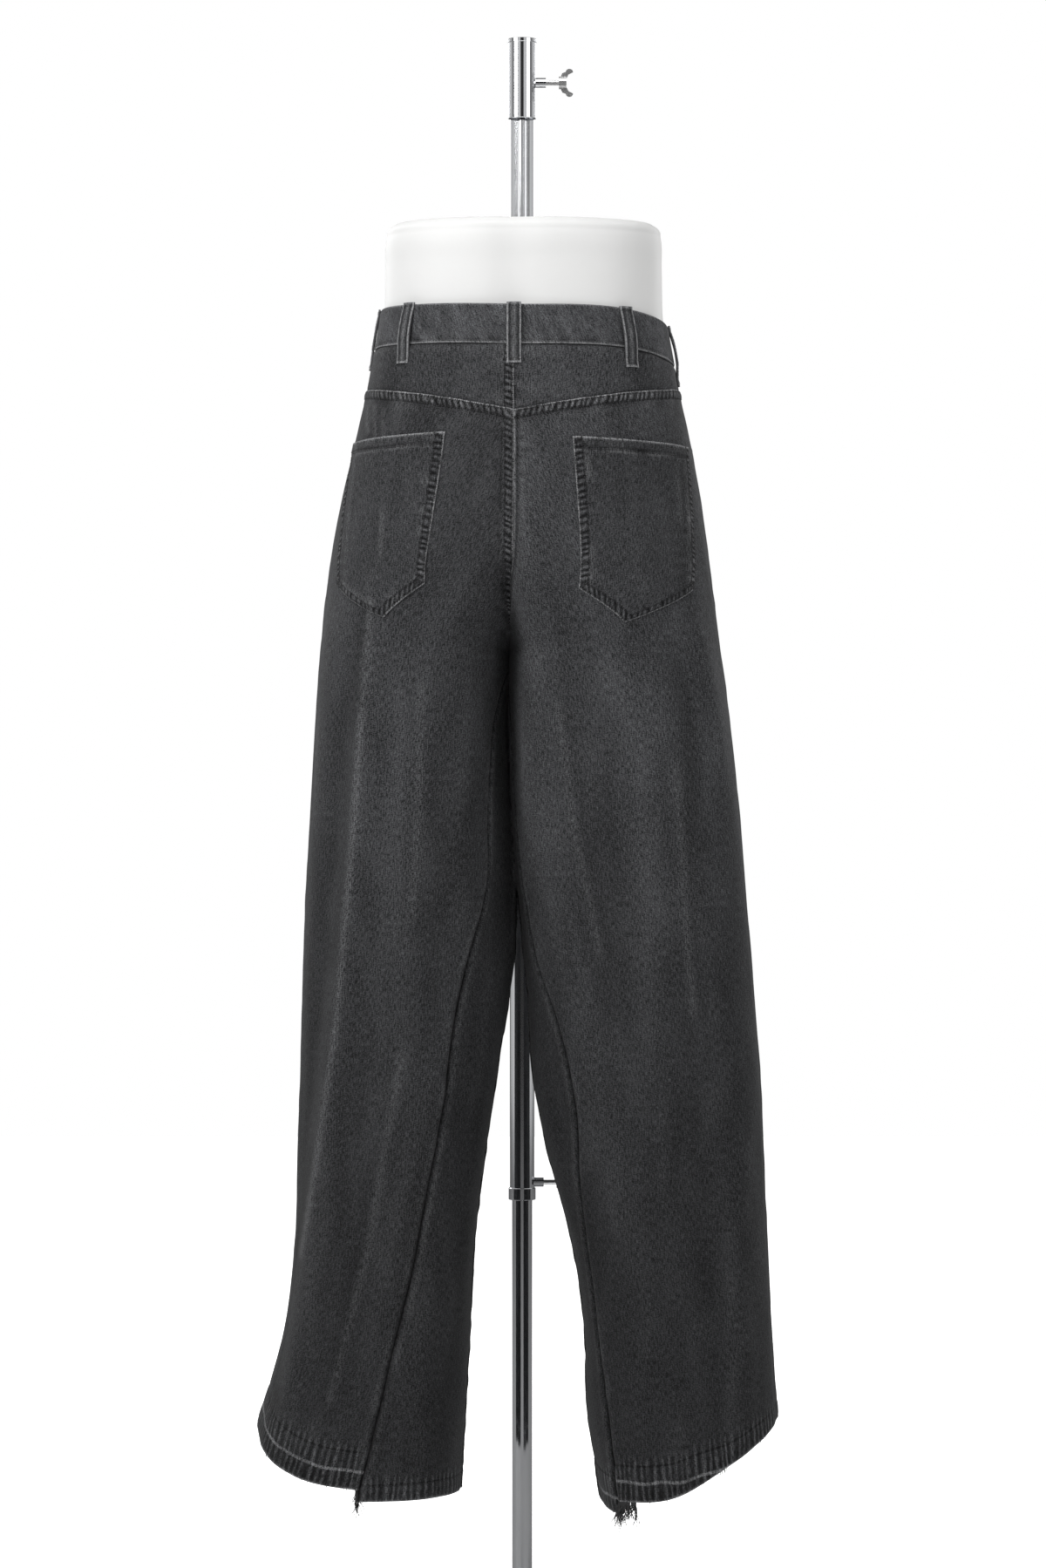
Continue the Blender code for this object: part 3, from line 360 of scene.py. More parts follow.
# %% Reading a table as a curve
def through(rows, columns, name, at):
    """A smooth cubic through one column of a table, read at any value of the first column."""
    table = np.array([[row[0], row[columns.index(name)]] for row in rows], float)
    table = table[np.argsort(table[:, 0])]
    key, value = table[:, 0], table[:, 1]
    slope = np.gradient(value, key)
    at = np.asarray(at, float)
    low = np.clip(np.searchsorted(key, at) - 1, 0, len(key) - 2)
    span = key[low + 1] - key[low]
    t = np.clip((at - key[low]) / span, 0, 1)
    return (
        (1 + 2 * t) * (1 - t) ** 2 * value[low]
        + t * (1 - t) ** 2 * span * slope[low]
        + t * t * (3 - 2 * t) * value[low + 1]
        + t * t * (t - 1) * span * slope[low + 1]
    )


def ease(t):
    """0 to 1 with a soft start and a soft end: 3 t^2 - 2 t^3."""
    t = np.clip(t, 0, 1)
    return t * t * (3 - 2 * t)


def bell(distance, width):
    """exp(-(distance / width)^2)."""
    return np.exp(-((distance / width) ** 2))


# %% Seeded noise
LATTICE = 256


def wave(at, seed):
    """Uneven waves from -1 to 1 along a line: a random value at each whole number, eased between."""
    values = np.random.default_rng(seed).uniform(-1, 1, LATTICE)
    low = np.floor(at).astype(int)
    t = ease(at - low)
    return values[low % LATTICE] * (1 - t) + values[(low + 1) % LATTICE] * t


def ripple(across, down, seed):
    """The same over a plane, on a square lattice of random values."""
    values = np.random.default_rng(seed).uniform(-1, 1, (LATTICE, LATTICE))
    i, j = np.floor(down).astype(int), np.floor(across).astype(int)
    s, t = ease(down - i), ease(across - j)
    i0, i1, j0, j1 = i % LATTICE, (i + 1) % LATTICE, j % LATTICE, (j + 1) % LATTICE
    upper = values[i0, j0] * (1 - t) + values[i0, j1] * t
    lower = values[i1, j0] * (1 - t) + values[i1, j1] * t
    return upper * (1 - s) + lower * s


# %% Rings of the legs
RING_SAMPLES = 60  # points along one quadrant
RING_COLUMNS = 481  # points of the table round one leg
ROW_STEP = 0.0025
HEIGHTS = np.arange(0.095, 1.372, ROW_STEP)
SOFTEN = 0.009  # cloth rounds off a change in its rings over this height


def leg_ring(leg, height):
    """A leg's rings, from the inner end on the back, round the side seam, to the inner end on the
    front. Each quadrant is x = a cos^(2/n), y = b sin^(2/n)."""
    side = LEG_SIDE[leg]

    def read(name):
        return through(SECTIONS, SECTION_COLUMNS, name, height)[:, None]

    out, inner = read(leg + "_out"), read(leg + "_in")
    power_in, power_out = 2 / read("corner_in"), 2 / read("corner_out")
    even_steps = ease(np.linspace(0, 1, RING_SAMPLES))
    halves = {}
    for face, sign in (("back", 1), ("front", -1)):
        opened = np.clip((height - CROTCH) / SEAT_RISE[face], 0, 1)[:, None] ** SEAT_START
        start = np.arccos((1 - opened) ** SEAT_EASE)
        half = np.abs(out - inner) / (1 + np.cos(start) ** power_in)
        middle = out - side * half
        depth = read(face) - sign * SIDE_SEAM_Y
        turn_in = start + (math.pi / 2 - start) * even_steps
        turn_out = math.pi / 2 * even_steps + 0 * start
        x = np.hstack([
            middle - side * half * np.abs(np.cos(turn_in)) ** power_in,
            middle + side * half * np.sin(turn_out) ** power_out,
        ])
        y = depth * np.hstack([np.sin(turn_in) ** power_in, np.abs(np.cos(turn_out)) ** power_out])
        y[:, -1] = 0
        halves[face] = (x, SIDE_SEAM_Y + sign * y)
    (xb, yb), (xf, yf) = halves["back"], halves["front"]
    return np.hstack([xb, xf[:, ::-1]]), np.hstack([yb, yf[:, ::-1]])


def softening():
    """A matrix that replaces each row of a table by a bell-weighted mean of its neighbours."""
    weight = bell(HEIGHTS[:, None] - HEIGHTS[None, :], SOFTEN)
    return weight / weight.sum(axis=1, keepdims=True)


ring_share = np.linspace(0, 1, RING_COLUMNS)
tables, side_at, gusset_at = {}, {}, {}
smooth_rows = softening()
for leg in LEG_SIDE:
    x, y = leg_ring(leg, HEIGHTS)
    steps = np.hypot(np.diff(x, axis=1), np.diff(y, axis=1))
    lengths = np.hstack([np.zeros((len(x), 1)), np.cumsum(steps, axis=1)])
    at = lengths / lengths[:, -1:]
    rows = range(len(HEIGHTS))
    x = smooth_rows @ np.stack([np.interp(ring_share, at[r], x[r]) for r in rows])
    y = smooth_rows @ np.stack([np.interp(ring_share, at[r], y[r]) for r in rows])
    tables[leg] = np.stack([x, y + FORM_AXIS_Y, HEIGHTS[:, None] + 0 * x], axis=-1)
    side_at[leg] = at[:, 2 * RING_SAMPLES - 1]
    seam = LEG_SIDE[leg] * through(GUSSET_SEAM, GUSSET_COLUMNS, leg, HEIGHTS)
    half_way = RING_COLUMNS // 2
    found = [np.interp(seam[r], LEG_SIDE[leg] * x[r, :half_way], ring_share[:half_way]) for r in rows]
    gusset_at[leg] = np.array(found)
above = ease((HEIGHTS - CROTCH + 0.004) / 0.008)[:, None, None]
MEET_REACH = 0.04  # share of a ring that moves with its end
for end in (0, -1):  # the rounded-off rings still meet on the seat seam
    middle = (tables["left"][:, end] + tables["right"][:, end]) / 2
    near = bell(ring_share - ring_share[end], MEET_REACH)[None, :, None]
    for leg in LEG_SIDE:
        tables[leg] += (middle - tables[leg][:, end])[:, None] * near * above
print("table of", len(HEIGHTS), "x", RING_COLUMNS, "points a leg")

# %% [markdown]
# ## Folds
#
# Heavy denim on a form falls in a few long, soft folds. A fold here is a path across the back or
# the front, with a height and a width on either side of it; the cloth moves in or out along it as
# a bell. The deep valley between the legs, the long crease down the wearer's left leg and the
# fan of folds under the right pocket are the photo's. The front, which it doesn't show, gets
# folds of the same kind. Creases are the same on a small scale: a sharp pale line with a painted
# shadow beside it. Where cloth stands out the dye has worn a little; the valleys are darkened by
# painted shade, and the crests get a little painted light.

# %% Fold tables
# Each fold: face, legs, size, width towards the wearer's right, width towards the left,
# share of its length over which it grows, and fades, then its path as (height, across).
FOLDS = (
    ("back", "both", -0.034, 0.009, 0.024, 0.5, 0.32, (
        (1.165, 0.007), (1.093, 0.012), (1.042, 0.014), (0.991, 0.016), (0.906, 0.018),
        (0.821, 0.017), (0.737, 0.015), (0.6, 0.02))),
    ("back", "right", 0.0072, 0.02, 0.006, 0.2, 0.25, (
        (1.215, -0.003), (1.127, -0.003), (1.042, -0.004), (0.872, -0.004), (0.74, -0.008))),
    ("back", "left", 0.0085, 0.016, 0.008, 0.22, 0.1, (
        (1.115, 0.136), (1.067, 0.143), (1.028, 0.147), (0.912, 0.158), (0.771, 0.169), (0.664, 0.181),
        (0.585, 0.191), (0.52, 0.2), (0.455, 0.207), (0.403, 0.216), (0.363, 0.222), (0.215, 0.24))),
    ("back", "left", -0.0085, 0.009, 0.018, 0.25, 0.15, (
        (1.06, 0.164), (0.912, 0.176), (0.771, 0.187), (0.585, 0.207), (0.403, 0.228), (0.26, 0.25))),
    ("back", "left", 0.0064, 0.026, 0.03, 0.4, 0.4, ((1.08, 0.1), (0.8, 0.104), (0.4, 0.14))),
    ("back", "left", -0.0056, 0.022, 0.022, 0.4, 0.4, ((1.06, 0.066), (0.8, 0.072), (0.56, 0.104))),
    ("back", "left", 0.0056, 0.016, 0.016, 0.4, 0.4, ((0.7, 0.066), (0.5, 0.105), (0.24, 0.165))),
    ("back", "left", -0.0064, 0.018, 0.018, 0.3, 0.3, ((0.72, 0.034), (0.56, 0.052), (0.33, 0.086))),
    ("back", "left", 0.0056, 0.018, 0.018, 0.3, 0.3, ((0.56, 0.066), (0.4, 0.082), (0.2, 0.112))),
    ("back", "right", 0.007, 0.013, 0.007, 0.3, 0.5, (
        (1.06, -0.166), (1.038, -0.171), (0.991, -0.182), (0.93, -0.194), (0.8, -0.206))),
    ("back", "right", -0.006, 0.009, 0.012, 0.3, 0.5, (
        (1.045, -0.146), (0.991, -0.155), (0.9, -0.17), (0.76, -0.183))),
    ("back", "right", 0.0067, 0.022, 0.026, 0.4, 0.5, ((1.08, -0.105), (0.82, -0.118), (0.42, -0.15))),
    ("back", "right", -0.0058, 0.024, 0.024, 0.4, 0.5, ((1.06, -0.06), (0.8, -0.072), (0.48, -0.11))),
    ("back", "right", 0.0054, 0.02, 0.02, 0.4, 0.4, ((0.84, -0.03), (0.64, -0.06), (0.3, -0.125))),
    ("back", "right", -0.0048, 0.022, 0.022, 0.4, 0.4, ((0.76, -0.16), (0.5, -0.18), (0.25, -0.19))),
    ("back", "right", 0.0048, 0.02, 0.02, 0.4, 0.3, ((0.6, -0.2), (0.4, -0.212), (0.2, -0.215))),
    ("back", "right", -0.0048, 0.012, 0.012, 0.3, 0.3, ((0.7, -0.012), (0.56, -0.036), (0.3, -0.074))),
    ("front", "both", -0.016, 0.02, 0.02, 0.5, 0.3, (
        (1.09, 0.008), (1.005, 0.012), (0.906, 0.012), (0.78, 0.008), (0.64, 0.004))),
    ("front", "left", -0.0072, 0.012, 0.014, 0.35, 0.5, ((1.1, 0.05), (1.03, 0.07), (0.96, 0.105))),
    ("front", "right", -0.0072, 0.014, 0.012, 0.35, 0.5, (
        (1.095, -0.036), (1.02, -0.06), (0.95, -0.1))),
    ("front", "left", -0.0056, 0.009, 0.01, 0.35, 0.5, ((1.05, 0.03), (1.0, 0.052), (0.93, 0.09))),
    ("front", "right", -0.0056, 0.01, 0.009, 0.35, 0.5, (
        (1.045, -0.014), (0.99, -0.04), (0.925, -0.082))),
    ("front", "left", 0.0055, 0.022, 0.016, 0.3, 0.2, ((1.0, 0.125), (0.7, 0.14), (0.25, 0.175))),
    ("front", "right", 0.0055, 0.016, 0.022, 0.3, 0.2, ((1.0, -0.12), (0.7, -0.138), (0.25, -0.17))),
    ("front", "left", -0.0064, 0.02, 0.018, 0.3, 0.3, ((0.9, 0.075), (0.6, 0.09), (0.3, 0.12))),
    ("front", "right", -0.0064, 0.018, 0.02, 0.3, 0.3, ((0.9, -0.072), (0.6, -0.092), (0.3, -0.125))),
)
# Small sharp creases on the back: strength, width, path as (height, across).
CREASES = (
    (0.75, 0.003, (
        (1.06, 0.146), (0.912, 0.1585), (0.787, 0.1675), (0.644, 0.181), (0.5, 0.201), (0.402, 0.218))),
    (0.6, 0.002, ((1.255, 0.153), (1.21, 0.151))), (0.6, 0.0018, ((1.25, 0.145), (1.205, 0.144))),
    (0.5, 0.0018, ((1.246, 0.1365), (1.2, 0.136))), (0.6, 0.0026, ((1.145, 0.136), (1.085, 0.138))),
    (0.5, 0.0022, ((1.18, -0.152), (1.12, -0.156))), (0.6, 0.0022, ((1.165, -0.161), (1.105, -0.165))),
    (0.45, 0.004, ((0.9, -0.151), (0.76, -0.157), (0.64, -0.168))),
    (0.4, 0.004, ((0.96, -0.034), (0.83, -0.05), (0.7, -0.078))),
    (0.4, 0.004, ((0.98, 0.098), (0.86, 0.1), (0.73, 0.108))),
    (0.35, 0.004, ((0.62, 0.115), (0.42, 0.15), (0.26, 0.19))),
)
FOLD_START = 0.05  # from the side seam's plane, over which a fold grows
FULL_FOLD = 0.008  # a fold this high wears and shades the dye fully
CREST_WEAR, VALLEY_SHADE = 0.022, 0.20  # wear of the dye on the crests of long folds; painted shade in their valleys and a little painted light on their crests
TOUCH = 0.0036  # how far the inner side of each thigh is pushed over to meet the other
TOUCH_AT = (0.0105, 0.735)  # across, and the height from which they touch
TOUCH_TOPS = ((0.65, 1.10), (0.35, 1.03))  # shares of the push, and where each ends
UNEVEN = 0.0014  # long shallow unevenness all over the cloth
UNEVEN_WIDE, UNEVEN_TALL, UNEVEN_ROUND = 0.034, 0.26, 0.7  # its sizes, and the ring's length
UNEVEN_SEED = {"left": 3, "right": 4}


# %% Folding the tables
def fold_amount(height, across, half_out, growth, fade, path_points):
    """Bell across the path times an eased rise and fall along it. half_out is (right, left)."""
    path = np.array(sorted(path_points))
    centre = np.interp(height, path[:, 0], path[:, 1])
    span = path[-1, 0] - path[0, 0]
    from_top = (path[-1, 0] - height) / span
    along = ease(from_top / growth) * ease((1 - from_top) / fade)
    off = across - centre
    return along * bell(off, np.where(off < 0, half_out[0], half_out[1]))


relief = {leg: np.zeros(points.shape[:2]) for leg, points in tables.items()}
for face, legs, size, to_right, to_left, growth, fade, fold_path in FOLDS:
    for leg in LEG_SIDE if legs == "both" else (legs,):
        points = tables[leg]
        widths = (to_right, to_left)
        amount = fold_amount(points[..., 2], points[..., 0], widths, growth, fade, fold_path)
        sign = 1 if face == "back" else -1
        depth = sign * (points[..., 1] - FORM_AXIS_Y - SIDE_SEAM_Y)
        amount = amount * ease(depth / FOLD_START)
        points[..., 1] += sign * size * amount
        relief[leg] += np.clip(size / FULL_FOLD, -1, 1) * amount
for leg, points in tables.items():  # the thighs touch, so no light passes between them
    x, tall = points[..., 0], points[..., 2]
    inner_side = bell(x - TOUCH_AT[0], 0.014) * ease((tall - TOUCH_AT[1]) / 0.05)
    shut = inner_side * sum(share * ease((top - tall) / 0.03) for share, top in TOUCH_TOPS)
    points[..., 0] -= LEG_SIDE[leg] * TOUCH * shut
for leg, points in tables.items():
    tall = points[..., 2]
    around = ring_share[None, :] * UNEVEN_ROUND / UNEVEN_WIDE + 0 * tall
    uneven = UNEVEN * ripple(around, tall / UNEVEN_TALL, UNEVEN_SEED[leg])
    calm = ease(np.minimum(ring_share, 1 - ring_share) / 0.05)[None, :] * ease((1.27 - tall) / 0.12)
    points[..., 1] += uneven * calm * np.sign(points[..., 1] - FORM_AXIS_Y)
print("folds:", len(FOLDS), "creases:", len(CREASES))


# %% Directions on the surface
def way_out(leg):
    """Unit normals of a leg's table: across the cloth times down it. At the ends of a ring the
    neighbour is the other end below the crotch, and the other leg above it."""
    own, other = tables[leg], tables[OTHER[leg]]
    below = (HEIGHTS < CROTCH)[:, None, None]
    before = np.concatenate([np.where(below, own[:, -2:-1], other[:, 1:2]), own[:, :-1]], axis=1)
    after = np.concatenate([own[:, 1:], np.where(below, own[:, 1:2], other[:, -2:-1])], axis=1)
    normal = np.cross(after - before, -np.gradient(own, axis=0)) * LEG_SIDE[leg]
    return normal / np.maximum(np.linalg.norm(normal, axis=-1, keepdims=True), 1e-12)


normals = {leg: way_out(leg) for leg in LEG_SIDE}
print("directions:", normals["left"].shape[0] * normals["left"].shape[1], "a leg")


def read_table(table, height, share):
    """A table read between its rows and columns."""
    row = np.clip((height - HEIGHTS[0]) / ROW_STEP, 0, len(HEIGHTS) - 1.001)
    column = np.clip(share, 0, 1) * (RING_COLUMNS - 1.001)
    i, j = row.astype(int), column.astype(int)
    s, t = (row - i)[..., None], (column - j)[..., None]
    upper = table[i, j] * (1 - t) + table[i, j + 1] * t
    lower = table[i + 1, j] * (1 - t) + table[i + 1, j + 1] * t
    return upper * (1 - s) + lower * s


def cloth(leg, height, share):
    """Points on the garment and the way out of it there."""
    height, share = np.broadcast_arrays(np.asarray(height, float), np.asarray(share, float))
    points = read_table(tables[leg], height, share)
    normal = read_table(normals[leg], height, share)
    return points, normal / np.linalg.norm(normal, axis=-1, keepdims=True)


def ring_length(leg, height):
    """Length once round a leg's half of the garment."""
    table = tables[leg]
    steps = np.linalg.norm(np.diff(table[..., :2], axis=1), axis=-1).sum(axis=1)
    return np.interp(height, HEIGHTS, steps)


# %% Sewn lines
def waist_top(leg, share):
    """Height of the waistband's upper edge."""
    return through(WAIST_LINE, WAIST_COLUMNS, leg, share)


def band_bottom(leg, share):
    """Height of the waistband's seam."""
    return waist_top(leg, share) - BAND_HEIGHT


def yoke_line(across):
    """Height of the yoke seam, from the centre back (0) to the side seam (1)."""
    return YOKE_CENTRE + YOKE_SIDE_RISE * (1 - (1 - across) ** YOKE_CURVE)


def side_share(leg, height):
    """The side seam's place on the ring."""
    return np.interp(height, HEIGHTS, side_at[leg])


def gusset_share(leg, height):
    """The inner panel's seam on the back: it opens from nothing just under the crotch."""
    return np.interp(height, HEIGHTS, gusset_at[leg]) * ease((CROTCH + 0.004 - height) / 0.03)


def waist_side(leg):
    """The side seam's place at the waistband."""
    return float(side_share(leg, band_bottom(leg, 0.5)))


def front_top(leg, across):
    """Upper edge of a front: the scooped pocket mouth, a quarter ellipse, then the waistband."""
    side = waist_side(leg)
    band = band_bottom(leg, side + (1 - side) * across)
    return band - SCOOP_DEPTH * np.sqrt(1 - np.clip(across / SCOOP_WIDTH, 0, 1) ** 2)


def hem_line(rows, leg, across):
    """Height of a hem's edge across its panel."""
    return through(rows, HEM_COLUMNS, leg, across)


print("round at the yoke, mm:", round(1000 * sum(ring_length(leg, YOKE_CENTRE) for leg in LEG_SIDE)))

# %% [markdown]
# ## Sheets of cloth
#
# A sheet is a grid of points on the surface with the way out at each. It knows how far each point
# is from its four edges, so a seam is a sum over those distances: a felled band stands up beside
# an edge, its stitches pinch it, and the shrunken thread puckers it. The same distances place the
# stitches and the worn lines, and go to the material as attributes.

# %% Grids
EDGE_STEPS = np.array([0, 0.0008, 0.0018, 0.0032, 0.0050, 0.0072, 0.0098, 0.0130])


def spaced(total, step):
    """Shares from 0 to 1 of a length: fine steps near both ends, even ones between."""
    reach = EDGE_STEPS[-1]
    inner = np.linspace(reach, total - reach, max(2, int((total - 2 * reach) / step)) + 1)[1:-1]
    return np.concatenate([EDGE_STEPS, inner, total - EDGE_STEPS[::-1]]) / total


def grid_quads(rows, columns, first, flip):
    """Quads of a grid whose points are stored by rows, from number first."""
    corner = first + np.arange(rows - 1)[:, None] * columns + np.arange(columns - 1)[None, :]
    around = [corner, corner + 1, corner + columns + 1, corner + columns]
    quads = np.stack(around, axis=-1).reshape(-1, 4)
    return quads[:, ::-1] if flip else quads


def rim_quads(rows, columns, flip):
    """Quads that join the rims of two grids, the second stored after the first."""
    index = np.arange(rows * columns).reshape(rows, columns)
    loop = np.concatenate([index[0], index[1:, -1], index[-1, -2::-1], index[-2:0:-1, 0]])
    after = np.roll(loop, -1)
    quads = np.stack([loop, loop + index.size, after + index.size, after], axis=-1)
    return quads[:, ::-1] if flip else quads


def make_mesh(name, points, faces, finish, sharp=55):
    """An object from arrays of points and faces, smooth but for its sharp edges."""
    mesh = bpy.data.meshes.new(name)
    mesh.from_pydata(points.tolist(), [], faces if isinstance(faces, list) else faces.tolist())
    mesh.update()
    mesh.materials.append(finish)
    mesh.shade_smooth()
    mesh.set_sharp_from_angle(angle=math.radians(sharp))
    return put(name, mesh)


def give(mesh, name, values):
    """A named value for every point of a mesh, for its material."""
    kind, field = ("FLOAT", "value") if values.ndim == 1 else ("FLOAT_VECTOR", "vector")
    made = mesh.attributes.new(name, kind, "POINT")
    made.data.foreach_set(field, values.astype(np.float32).ravel())


def give_uv(mesh, places):
    """A flat map of the cloth in metres."""
    corner = np.empty(len(mesh.loops), np.int32)
    mesh.loops.foreach_get("vertex_index", corner)
    made = mesh.uv_layers.new(name="cloth")
    made.data.foreach_set("uv", places[corner].astype(np.float32).ravel())


# %% Sheet
FADE_COLUMNS = ("height", "tone")
FADE = (  # how light the cloth has faded at each height
    (0.10, 0.62), (0.20, 0.63), (0.40, 0.69), (0.70, 0.94), (0.92, 1.26), (1.08, 1.20), (1.20, 1.08),
    (1.32, 1.20),
)
PUCKER = 0.011  # usual distance between two puckers of the cloth
SEAM_ROWS, FRONT_ROWS = (0.0018, 0.0088), (0.0018, 0.0078)  # stitches, from a seam's edge
INSIDE = {"fade": 0.55, "wear": 0.0, "seam": 1.0, "hem": 1.0}  # what the inside shows of each value; its fade of 0.55 is painted shade that darkens the inside and the cut rims
INSIDE_MAP = 0.37  # the inside reads the weave at another place
SEAM_END = 0.03  # beyond this the material has no seam
NO_HEM = (1.0, 1.0, 0.0)  # far from a hem's stitches and from its fold line
RUNS_DOWN = ("first", "last")


class Sheet:
    """A grid of cloth, its distances to its edges, and what its seams do to it."""

    def __init__(self, points, normal, side):
        self.points, self.normal, self.side = points, normal, side
        across = np.linalg.norm(np.diff(points, axis=1), axis=-1)
        down = np.linalg.norm(np.diff(points, axis=0), axis=-1)
        self.first = np.pad(np.cumsum(across, axis=1), ((0, 0), (1, 0)))
        self.last = self.first[:, -1:] - self.first
        self.top = np.pad(np.cumsum(down, axis=0), ((1, 0), (0, 0)))
        self.bottom = self.top[-1:] - self.top
        self.lift = np.zeros(points.shape[:2])
        self.wear = np.zeros(points.shape[:2])
        # shade: a factor on the colour, mostly painted shade and light in grooves, troughs, valleys and
        # beside seams, and also some uneven tone
        self.shade = np.ones(points.shape[:2])
        self.seam = np.stack([SEAM_END + self.lift, self.lift, self.lift], axis=-1)
        self.turned = np.zeros(points.shape) + NO_HEM
        self.rows, self.frays = [], []
        self.straight, self.map_start = "first", 0.0

    def edge(self, name):
        """Distance from an edge, and distance along it."""
        return getattr(self, name), self.top if name in RUNS_DOWN else self.first

    def roll(self, name, strength=1.0, drop=0.0010, reach=0.0012):
        """The cloth turns down into the seam at an edge."""
        self.lift -= strength * drop * np.exp(-self.edge(name)[0] / reach)

    def mark(self, name, strength):
        """The material learns of the nearest seam: distance from it, distance along it, strength."""
        away, along = self.edge(name)
        value = np.stack([away, along, strength + 0 * away], axis=-1)
        nearer = (away < self.seam[..., 0]) & (value[..., 2] > 0.05)
        self.seam = np.where(nearer[..., None], value, self.seam)

    def felled(self, name, seed, width=0.0100, strength=1.0, worn=1.0):
        """A raised band beside an edge, pinched by its stitches, with puckers that die away."""
        away, along = self.edge(name)
        band = ease((width - away) / 0.0018) * strength
        bulge = ripple((along + 0.5 * away) / PUCKER, away / 0.014, seed)
        near = np.exp(-np.maximum(away - width, 0) / 0.010) * strength
        self.lift += 0.0009 * band + 0.0008 * bulge * near
        for row in SEAM_ROWS:
            self.lift -= 0.0005 * bell(away - row, 0.0013) * strength
        self.roll(name, strength)
        uneven = 0.75 + 0.35 * wave(along / 0.019, seed + 1)
        self.wear += worn * strength * uneven * 0.80 * bell(away - 0.0006, 0.0009)
        self.wear += worn * (0.05 * band + 0.10 * np.clip(bulge, 0, 1) * near)
        # painted shade in the troughs of the puckers, and a painted shadow line just beyond the raised
        # band
        self.shade *= 1 - 0.30 * np.clip(-bulge, 0, 1) * near
        self.shade *= 1 - 0.42 * strength * bell(away - width - 0.0010, 0.0014)
        self.mark(name, strength)

    def pressed(self, name, seed, strength=1.0, swell=0.0006):
        """A plain seam: the cloth turns deep in, a little puckered beside it."""
        away, along = self.edge(name)
        bulge = ripple(along / (1.5 * PUCKER), away / 0.02, seed)
        self.lift += strength * swell * bulge * np.exp(-away / 0.012)
        self.lift += strength * 0.0007 * bell(away - 0.0055, 0.0040)
        self.roll(name, strength, 0.0032, 0.0020)
        self.wear += strength * 0.04 * (1 + bulge) * bell(away - 0.0055, 0.0030)
        # painted shade in the seam's groove
        self.shade *= 1 - 0.72 * strength * np.exp(-away / 0.0018)

    def hem(self, name, seed, depth, fold=None):
        """A turned hem: thicker, and pinched and roped by its row of stitches. fold is how far
        above the edge the old fold line of a hem that was let down has faded."""
        away, along = self.edge(name)
        band = ease((depth + 0.001 - away) / 0.0022)
        roping = ripple((along + 0.8 * away) / 0.015, away / 0.03, seed)
        near = np.exp(-np.maximum(away - depth, 0) / 0.012)
        self.lift += 0.0007 * band + 0.0008 * roping * near
        self.lift -= 0.0007 * bell(away - depth + 0.0012, 0.0018)
        self.wear += (0.45 + 0.25 * wave(along / 0.012, seed + 1)) * bell(away, 0.0014)
        line = NO_HEM[1] + 0 * away
        if fold is not None:
            line = away - fold - 0.0014 * wave(along / 0.02, seed + 2)
            self.lift -= 0.0006 * bell(line, 0.0018)
        self.turned = np.stack([away - depth + 0 * along, line, along], axis=-1)
        self.mark(name, 0.25)

    def crumple(self, seed, size, wide, tall, angle=0.0):
        """Small uneven creases all over."""
        u = self.first * math.cos(angle) + self.top * math.sin(angle)
        v = self.top * math.cos(angle) - self.first * math.sin(angle)
        rises = ripple(u / wide, v / tall, seed)
        self.lift += size * rises
        self.wear += 0.025 * np.clip(rises - 0.2, 0, 1)

    def shown(self):
        """The points where the seams have moved them."""
        return self.points + self.normal * self.lift[..., None]

    def stitch(self, name, *distances, low=-1.0, high=9.0):
        """Rows of stitches at some distances from an edge, between two heights."""
        for distance in distances:
            self.stitch_row(name, distance, low, high)

    def stitch_row(self, name, distance, low, high):
        """One row: where it crosses each line of the grid, between its two nearest points."""
        grids = [self.edge(name)[0][..., None], self.shown(), self.normal]
        if name not in RUNS_DOWN:
            grids = [np.swapaxes(grid, 0, 1) for grid in grids]
        if name in ("last", "bottom"):
            grids = [grid[:, ::-1] for grid in grids]
        away = grids[0][..., 0]
        row = np.arange(len(away))
        after = np.clip((away < distance).sum(axis=1), 1, away.shape[1] - 1)
        span = np.maximum(away[row, after] - away[row, after - 1], 1e-9)
        t = np.clip((distance - away[row, after - 1]) / span, 0, 1)[:, None]
        points, normal = (grid[row, after - 1] * (1 - t) + grid[row, after] * t for grid in grids[1:])
        kept = (points[:, 2] > low) & (points[:, 2] < high)
        self.rows.append((points[kept], normal[kept]))

    def fray(self, name, low, high, count, length, seed):
        """Loose threads from an edge, between two shares of its length."""
        chance = np.random.default_rng(seed)
        index = {"bottom": (-1, slice(None)), "last": (slice(None), -1)}[name]
        points, normal = self.shown()[index], self.normal[index]
        at = chance.uniform(low, high, count) * (len(points) - 1.001)
        low_row, t = at.astype(int), (at - at.astype(int))[:, None]
        start = points[low_row] * (1 - t) + points[low_row + 1] * t
        self.frays.append((start, normal[low_row], length * chance.uniform(0.3, 1.0, count), seed))

    def build(self, name, finish, thick, tone):
        """The closed wall of the sheet, as an object with its map and its attributes. The map's
        first direction is measured from the sheet's straight edge, along which the warp runs."""
        rows, columns = self.lift.shape
        outer = self.shown().reshape(-1, 3)
        inner = outer - (self.normal * thick).reshape(-1, 3)
        flip = self.side < 0
        faces = np.concatenate([
            grid_quads(rows, columns, 0, flip),
            grid_quads(rows, columns, rows * columns, not flip),
            rim_quads(rows, columns, flip),
        ])
        obj = make_mesh(name, np.concatenate([outer, inner]), faces, finish)
